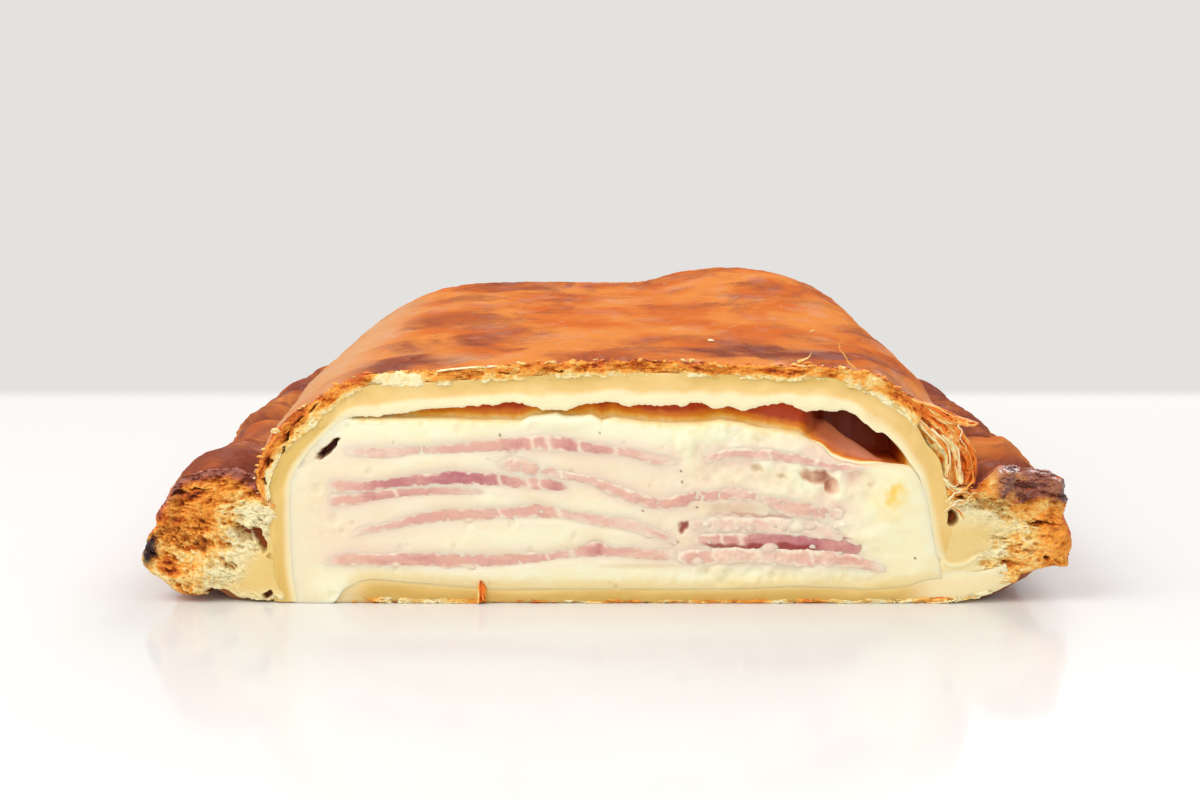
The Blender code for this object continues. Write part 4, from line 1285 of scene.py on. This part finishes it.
def base_skin_relief(px, py, run, share):
    """The browned skin under the base: broken flakes from cream to brown, with painted shade in the gaps
    above the board.
    """
    depth, hollow = flaky(px, py * 2.5, 123)
    patch = grain(30, px, 0.0, 0.0, 129, 3)
    cracks = ease(0.25, 0.6, grain(12, px, py * 2, 0.0, 133, 3))
    deep = 0.9 * depth + 0.5 * cracks - 0.45
    bake = 0.3 + 0.4 * patch + 0.35 * (depth - 0.3)
    return deep, crumb_fields(bake, np.clip(0.5 * hollow + 0.9 * cracks * ease(0.4, 0.8, share), 0, 1))


def rim_cut(name, outline, centre, foot, relief, nodes, seed):
    """The rim's cut end: rays from its middle to the drawn outline, then a skirt that runs back 10 mm.

    The outline is roughened by up to half a millimetre, and away from the lid's foot the front rounds off.
    """
    around = 460
    edge = along(outline, around, closed=True)
    rough = grain(7, edge[:, 0], edge[:, 1], 0.0, seed, 4, 0.6)[:, None]
    middle = np.array(centre, float)
    edge = middle + (edge - middle) * (1 + 0.022 * rough)
    share = np.linspace(0.004, 1.0, 104)[:, None, None] ** 0.8
    grid = middle + (edge[None] - middle) * share
    px, py, share = grid[..., 0], grid[..., 1], share[..., 0]
    deep, fields = relief(px, py, share + 0 * px)
    deep = deep + (0.3 + 1.3 * ease(18, 50, np.abs(px - foot))) * ease(0.9, 1.0, share) ** 2
    front = on_cut(px, py, deep)
    skirt_rows = 26
    run = np.linspace(0.0, 1.0, skirt_rows + 1)[1:, None]
    rim = front[-1]
    inward = on_cut(*middle) - rim
    inward[:, 1] = 0.0
    ripples = 0.035 * grain(2.6, rim[None, :, 0], 10 * run, rim[None, :, 2], seed + 3, 3)
    shrink = 0.02 * run + 0.2 * run**2 + ripples * np.sin(np.pi * np.minimum(1, run * 1.2))
    skirt = rim[None] + inward[None] * shrink[..., None]
    skirt[..., 1] = rim[None, :, 1] + 10.0 * run
    skirt[..., 2] = np.maximum(skirt[..., 2], 0.05)
    for label, values in fields.items():
        fields[label] = np.concatenate([values, np.repeat(values[[-1]], skirt_rows, axis=0)])
    crusty = ease(0.0, 0.35, run) + 0 * rim[None, :, 0]
    mottle = 0.9 + 0.3 * grain(5, rim[None, :, 0], 10 * run, rim[None, :, 2], seed + 5, 2)
    fields["bake"][-skirt_rows:] = fields["bake"][-skirt_rows:] * (1 - crusty) + crusty * mottle
    fields["pore"][-skirt_rows:] *= 1 - crusty
    fields["glaze"][-skirt_rows:] *= 0.3
    skin(name, np.concatenate([front, skirt]), CRUMB, nodes, fields)


def left_rim_relief(px, py, share):
    """Open flaky crumb in torn layers, soft dough at the lid's foot, and three smooth hollows between."""
    turn = math.radians(30)
    along_layers = px * math.cos(turn) + py * math.sin(turn)
    depth, hollow = flaky(along_layers, py * math.cos(turn) - px * math.sin(turn), 141)
    level_depth, level_hollow = flaky(px, py, 143)
    rise = ease(505, 530, py)
    depth, hollow = depth * rise + level_depth * (1 - rise), hollow * rise + level_hollow * (1 - rise)
    small = pores(5.5, px, py, 145, 0.6, 1.5, 28) * ease(0.95, 0.85, share)
    dashes = pores(3.2, px, py, 146, 0.55, 3.2, 24) * ease(0.96, 0.88, share)
    pale = ease(196, 256, px + 0.3 * (py - 540) + 12 * grain(18, px, py, 0.0, 147, 3)) * ease(496, 520, py)
    smooth = ease(236, 262, px + 0.6 * (py - 560) + 5 * grain(12, px, py, 0.0, 157, 3))
    smooth = smooth * ease(520, 545, py) * ease(602, 586, py)
    wx, wy = warped(px, py, 8, 2.6, 307)
    olive, brown = spot(wx, wy, *OLIVE_PIT), spot(wx, wy, *BROWN_PIT)
    slot, crack = spots(wx, wy, LEFT_SLOTS), spots(wx, wy, LEFT_CRACKS)
    lumps = grain(22, px, py, 0.0, 149, 3)
    rough = 1 - smooth
    torn = 1.7 * depth + 0.4 * small + 0.5 * hollow - 0.5 + 0.5 * dashes * pale
    deep = 0.55 * lumps * (1 - 0.8 * smooth) + rough * torn
    deep = deep + 2.0 * olive + 3.6 * brown + 3.0 * slot + 2.2 * crack + 0.15
    top = ease(504, 484, py - 0.12 * (px - 200))
    skin_top = ease(0.84, 0.97, share + 0.05 * lumps) * ease(525, 495, py)
    bake = 0.46 - 0.5 * pale + 0.16 * top + 0.4 * skin_top + 0.18 * ease(0.88, 1.0, share)
    bake = bake + 0.45 * (depth - 0.45) * (1 - 0.3 * pale)
    bake = bake + 0.42 * np.clip(spots(wx, wy, LEFT_BROWNED), 0, 1)
    bake = bake + 0.2 * grain(24, px, py, 0.0, 151, 2) * (1 - pale)
    open_pores = 0.5 * hollow + 0.4 * ease(0.2, 0.9, small) * (1 - 0.6 * pale)
    open_pores = open_pores + 0.55 * ease(0.1, 0.8, dashes) * pale
    # pore paints the open pores, both pits, the slots and the cracks dark: painted shade in them
    pore = np.clip(open_pores * rough + 0.45 * olive + 0.85 * brown + slot + crack, 0, 1)
    burnt = np.clip(spots(wx, wy, LEFT_BURNT), 0, 1)
    dough = np.clip(0.9 * smooth + 0.45 * olive, 0, 1) * (1 - brown) * (1 - np.clip(slot, 0, 1))
    return deep, crumb_fields(bake, pore, burnt, dough, 0.5 * skin_top)


def right_rim_relief(px, py, share):
    """Soft pale dough at the lid's foot, a seam between the two sheets, and flaky brown crumb outside."""
    depth, hollow = flaky(px + 0.15 * py, py - 0.15 * px, 161)
    small = pores(6, px, py, 163, 0.6, 1.8, -8) * ease(0.96, 0.86, share)
    pale = ease(1032, 980, px + 14 * grain(18, px, py, 0.0, 167, 3)) * ease(488, 512, py)
    smooth = ease(1012, 972, px + 0.4 * (py - 550) + 9 * grain(14, px, py, 0.0, 177, 3))
    smooth = smooth * ease(508, 534, py)
    line = level(RIGHT_SEAM, px)
    seam = np.exp(-(((py - line) / 2.6) ** 2)) * ease(1012, 996, px)
    wx, wy = warped(px, py, 8, 2.2, 309)
    pocket, hole = spot(wx, wy, *TAN_POCKET), spot(wx, wy, *RIGHT_HOLE)
    cavities = spots(wx, wy, RIGHT_CAVITIES)
    orange = spot(px, py, *ORANGE_BUMP)
    rough = (1 - smooth) * (1 - orange)
    lumps = grain(22, px, py, 0.0, 169, 3)
    deep = 0.6 * lumps * (1 - 0.85 * smooth) + rough * (1.7 * depth + 0.5 * small + 0.5 * hollow - 0.4)
    flush = ease(978, 960, px) * ease(503, 514, py) * ease(576, 566, py)
    deep = deep + (-0.11 - deep) * flush
    deep = deep + 0.8 * pocket + 4.0 * hole + 3.0 * cavities + 1.2 * orange - 0.25 * seam + 0.15
    cap = ease(503, 497, py + 6 * grain(16, px, py, 0.0, 173, 3)) * ease(992, 1004, px)
    blister = grain(11, px, py, 0.0, 175, 3)
    deep = deep - cap * (1.3 * ease(1.0, 0.8, share) + 0.7 * blister)
    bake = 0.43 - 0.43 * pale + 0.16 * ease(0.88, 1.0, share) + 0.35 * (depth - 0.4) * (1 - 0.3 * pale)
    bake = bake - 0.05 * smooth + 0.16 * ease(1030, 1060, px)
    bake = bake + 0.2 * grain(24, px, py, 0.0, 171, 2) * (1 - pale)
    bake = bake - 0.3 * seam + 0.16 * pocket - 0.05 * orange + cap * (0.42 + 0.2 * blister)
    # pore paints the open pores, the hole and the cavities dark: painted shade in them
    pore = np.clip((0.5 * hollow + 0.45 * ease(0.2, 0.9, small)) * rough * (1 - 0.35 * pale)
                   + 0.95 * hole + 0.6 * cavities + 0.05 * pocket, 0, 1)
    burnt = cap * (0.2 + 0.4 * ease(-0.1, 0.5, blister))
    dough = smooth * (1 - 0.85 * seam) * (1 - 0.7 * pocket) * (0.3 + 0.5 * ease(line + 6, line - 3, py))
    burnt, dough = np.clip(burnt, 0, 1), np.clip(dough, 0, 1)
    return deep, crumb_fields(bake, pore * (1 - 0.6 * cap), burnt, dough, 0.85 * cap)


def rim_path(count):
    """Stations of the rim's centre line: along the left side, round the back as a superellipse, forward.

    Gives x, y, the outward direction, the distance along and the whole length.
    """
    turn = np.linspace(0.0, math.pi, 1441)
    bend_x = -power_wave(np.cos(turn), PLAN_POWER) * RIM_HALF_WIDTH
    bend_y = BEND_START_Y + power_wave(np.abs(np.sin(turn)), PLAN_POWER) * BEND_DEPTH
    x = np.concatenate([[-RIM_HALF_WIDTH], bend_x, [RIM_HALF_WIDTH]])
    y = np.concatenate([[CUT_Y], bend_y, [CUT_Y]])
    run = np.concatenate([[0.0], np.cumsum(np.hypot(np.diff(x), np.diff(y)))])
    at = np.linspace(3.0, run[-1] - 3.0, count)
    x, y = np.interp(at, run, x), np.interp(at, run, y)
    out = np.stack([-np.gradient(y), np.gradient(x)], axis=-1)
    out /= np.linalg.norm(out, axis=-1, keepdims=True)
    return x, y, out, at, run[-1]


def crimped_rim():
    """The pinched rim: a rounded profile carried along the centre line, in uneven lumps between crimps.

    A pinch at each crimp shrinks the profile. Crimps lean, so that a pinch lies further along at the top.
    Thin layers and blisters lift the surface along its normals.
    """
    count, around = 980, 84
    x, y, out, at, length = rim_path(count)
    profile = along(RIM_PROFILE, around, closed=True)
    reach, height = profile[:, 0][None], profile[:, 1][None]
    lean = at[:, None] + 0.45 * (height - 12) + 5.5 * grain(48, at[:, None], 0.0, 0.0, 301, 2)
    place = lean / 23.5
    cell = np.floor(place).astype(np.int64)
    phase = place - cell
    size = 0.86 + 0.24 * scatter(cell, 0 * cell, 3, 303)
    following = 0.86 + 0.24 * scatter(cell + 1, 0 * cell, 3, 303)
    size = size + (following - size) * ease(0.75, 1.0, phase) * 0.5
    aside = np.minimum(phase, 1 - phase) / 0.12
    pinch = np.exp(-(aside**2)) * (0.6 + 0.5 * scatter(cell, 0 * cell, 5, 305))
    upper = ease(4.0, 14.0, height)
    low_side = 0.88 + 0.12 * ease(12, 2, at) + 0.07 * ease(10, 22, at) * ease(75, 50, at)
    low_side = low_side + 0.1 * ease(length * 0.62, length * 0.8, at)
    low_side = (low_side + 0.12 * ease(70, 84, at) * ease(116, 100, at))[:, None]
    right_lobe = (ease(length - 60, length - 35, at) * ease(length - 3, length - 12, at))[:, None]
    swell = low_side * (1 + (size - 1) * upper) - 0.26 * pinch * upper
    corner = (ease(110, 140, at) * ease(length - 110, length - 140, at))[:, None]
    inner_part = reach - 9.0 * corner * ease(-8, -12, reach)
    outer_part = np.where(reach > -6, (reach + 6) * swell - 6, inner_part)
    right_side = ease(length - 190, length - 6, at)[:, None]
    left_end = ease(24, 4, at)[:, None]
    lift = 5.2 * right_side * ease(-8, 8, reach) + 3.2 * left_end * ease(-8, 0, reach)
    tucked = 1 - 0.9 * corner * ease(-7, -10.5, reach)
    high = height * (1 + (swell - 1) * 0.8 * tucked) + lift * ease(16, 2, height)
    high = high + (3.6 + 2.4 * ease(1, 6, reach)) * right_lobe * ease(8, 20, height)
    z = np.maximum(high, 0.05)
    points = np.stack([x[:, None] + outer_part * out[:, [0]], y[:, None] + outer_part * out[:, [1]],
                       z + 0 * outer_part], axis=-1)
    normal = outward(np.concatenate([points, points[:, :1]], axis=1))[:, :-1]
    gx, gy, gz = points[..., 0], points[..., 1], points[..., 2]
    middle = np.stack([x, y], axis=-1)[:, None]
    facing = np.sum(normal[..., :2] * (points[..., :2] - middle), axis=-1) + normal[..., 2] * (gz - 12)
    normal = normal * np.where(np.sign(facing).mean() < 0, -1, 1)
    layers = np.sin(2 * math.pi * (gz / 2.1 + 0.8 * grain(9, gx, gy, gz, 311, 3)))
    exposed = ease(-7, 2, outer_part) * ease(23.5, 18, height) * ease(0.3, 3, height)
    relief = (0.55 * grain(7, gx, gy, gz, 313, 3) + 0.28 * np.abs(grain(2.4, gx, gy, gz, 315, 2))
              + 0.32 * exposed * layers + 0.3 * exposed * np.abs(grain(1.5, gx, gy, gz, 317, 2)))
    relief = relief * ease(0.0, 1.5, height + 0.4)
    points = points + normal * relief[..., None]
    points[..., 2] = np.maximum(points[..., 2], 0.05)
    # The last term darkens the lowest 3 mm of the rim: painted shadow where it meets the board
    bake = (0.2 + 0.26 * ease(17, 26, height) * (1 - 0.5 * pinch) + 0.36 * pinch * upper
            - 0.35 * exposed * (0.5 + 0.5 * layers) + 0.25 * grain(14, gx, gy, gz, 319, 3)
            + 0.5 * ease(3.0, 0.8, height))
    pale = exposed * (0.25 + 0.3 * grain(5, gx, gy, gz, 321, 3)) + 0.25 * ease(4, 0, height)
    skin("crimped_rim", points, CRUST, ["pastry_lid", "pastry_base"],
         {"bake": bake, "pale": np.clip(pale, 0, 1)})


def base_and_rim():
    """The base's dough and skin as bands on the cut, the rim's two cut ends and the rim itself."""
    base, both = ["pastry_base"], ["pastry_lid", "pastry_base"]
    cut_band("base_sheet", BASE_BAND, 900, 34, base_relief, 180.0, DOUGH, base,
             torn=0.5, seed=119)
    cut_band("base_skin", BASE_SKIN, 900, 12, base_skin_relief, 20.0, CRUMB, base,
             torn=2.0, seed=117)
    rim_cut("left_rim_cut", LEFT_RIM, LEFT_MIDDLE, LEFT_FOOT, left_rim_relief, both, 131)
    rim_cut("right_rim_cut", RIGHT_RIM, RIGHT_MIDDLE, RIGHT_FOOT, right_rim_relief, both, 135)
    crimped_rim()


# The set: floor, light and camera

def studio():
    """A pale board that fades into the backdrop's grey, soft lights, an even sky, and the camera."""
    size, fade_start, fade_end = 6.0, 0.155, 0.185
    backdrop = (0.775, 0.76, 0.735, 1.0)
    mesh = bpy.data.meshes.new("floor")
    corners = [(-size, -size, 0), (size, -size, 0), (size, size * 4, 0), (-size, size * 4, 0)]
    mesh.from_pydata(corners, [], [(0, 1, 2, 3)])
    floor = bpy.data.objects.new("floor", mesh)
    bpy.context.scene.collection.objects.link(floor)
    board = Finish("pale_board", Roughness=0.12, Specular_IOR_Level=0.13)
    board.shader.inputs["Base Color"].default_value = (0.775, 0.775, 0.78, 1.0)
    place = board.add("ShaderNodeTexCoord", out="Object")
    behind = board.add("ShaderNodeSeparateXYZ", None, {0: place}, out="Y").ease(fade_start, fade_end)
    glow = board.add("ShaderNodeEmission", None, {"Color": backdrop})
    surface = Wire(board, board.shader.outputs[0])
    both = board.add("ShaderNodeMixShader", None, {0: behind, 1: surface, 2: glow})
    board.tree.links.new(both.socket, board.tree.nodes["Material Output"].inputs[0])
    mesh.materials.append(board.material)

    world = bpy.data.worlds.new("studio")
    world.use_nodes = True
    sky = world.node_tree.nodes["Background"]
    sky.inputs[0].default_value = backdrop
    sky.inputs[1].default_value = 1.0
    bpy.context.scene.world = world

    def lamp(name, place, aim, size, power, colour):
        """A round area light at a place, turned to face its aim."""
        light = bpy.data.lights.new(name, "AREA")
        light.shape, light.size, light.energy, light.color = "DISK", size, power, colour
        holder = bpy.data.objects.new(name, light)
        holder.location = place
        towards = np.array(aim) - np.array(place)
        holder.rotation_euler = (math.acos(-towards[2] / np.linalg.norm(towards)), 0.0,
                                 math.atan2(towards[1], towards[0]) - math.pi / 2)
        bpy.context.scene.collection.objects.link(holder)

    lamp("key_light", (-0.55, -0.45, 0.75), (0, -0.05, 0.02), 0.7, 5.0, (1.0, 0.98, 0.95))
    lamp("front_light", (0.15, -1.4, 0.35), (0, -0.12, 0.03), 0.9, 1.6, (1.0, 1.0, 1.0))
    lamp("back_light", (0.35, 0.75, 0.7), (0, 0.0, 0.03), 0.8, 6.0, (1.0, 1.0, 1.0))

    camera = bpy.data.cameras.new("camera")
    camera.lens, camera.sensor_width = LENS, SENSOR
    holder = bpy.data.objects.new("camera", camera)
    holder.location = (CAMERA_X * MM, (CUT_Y - CAMERA_GAP) * MM, CAMERA_HEIGHT * MM)
    holder.rotation_euler = (math.pi / 2 - CAMERA_PITCH, 0.0, 0.0)
    bpy.context.scene.collection.objects.link(holder)
    bpy.context.scene.camera = holder
    bpy.context.scene.view_settings.view_transform = "Standard"


lid_pieces()
filling()
base_and_rim()
studio()
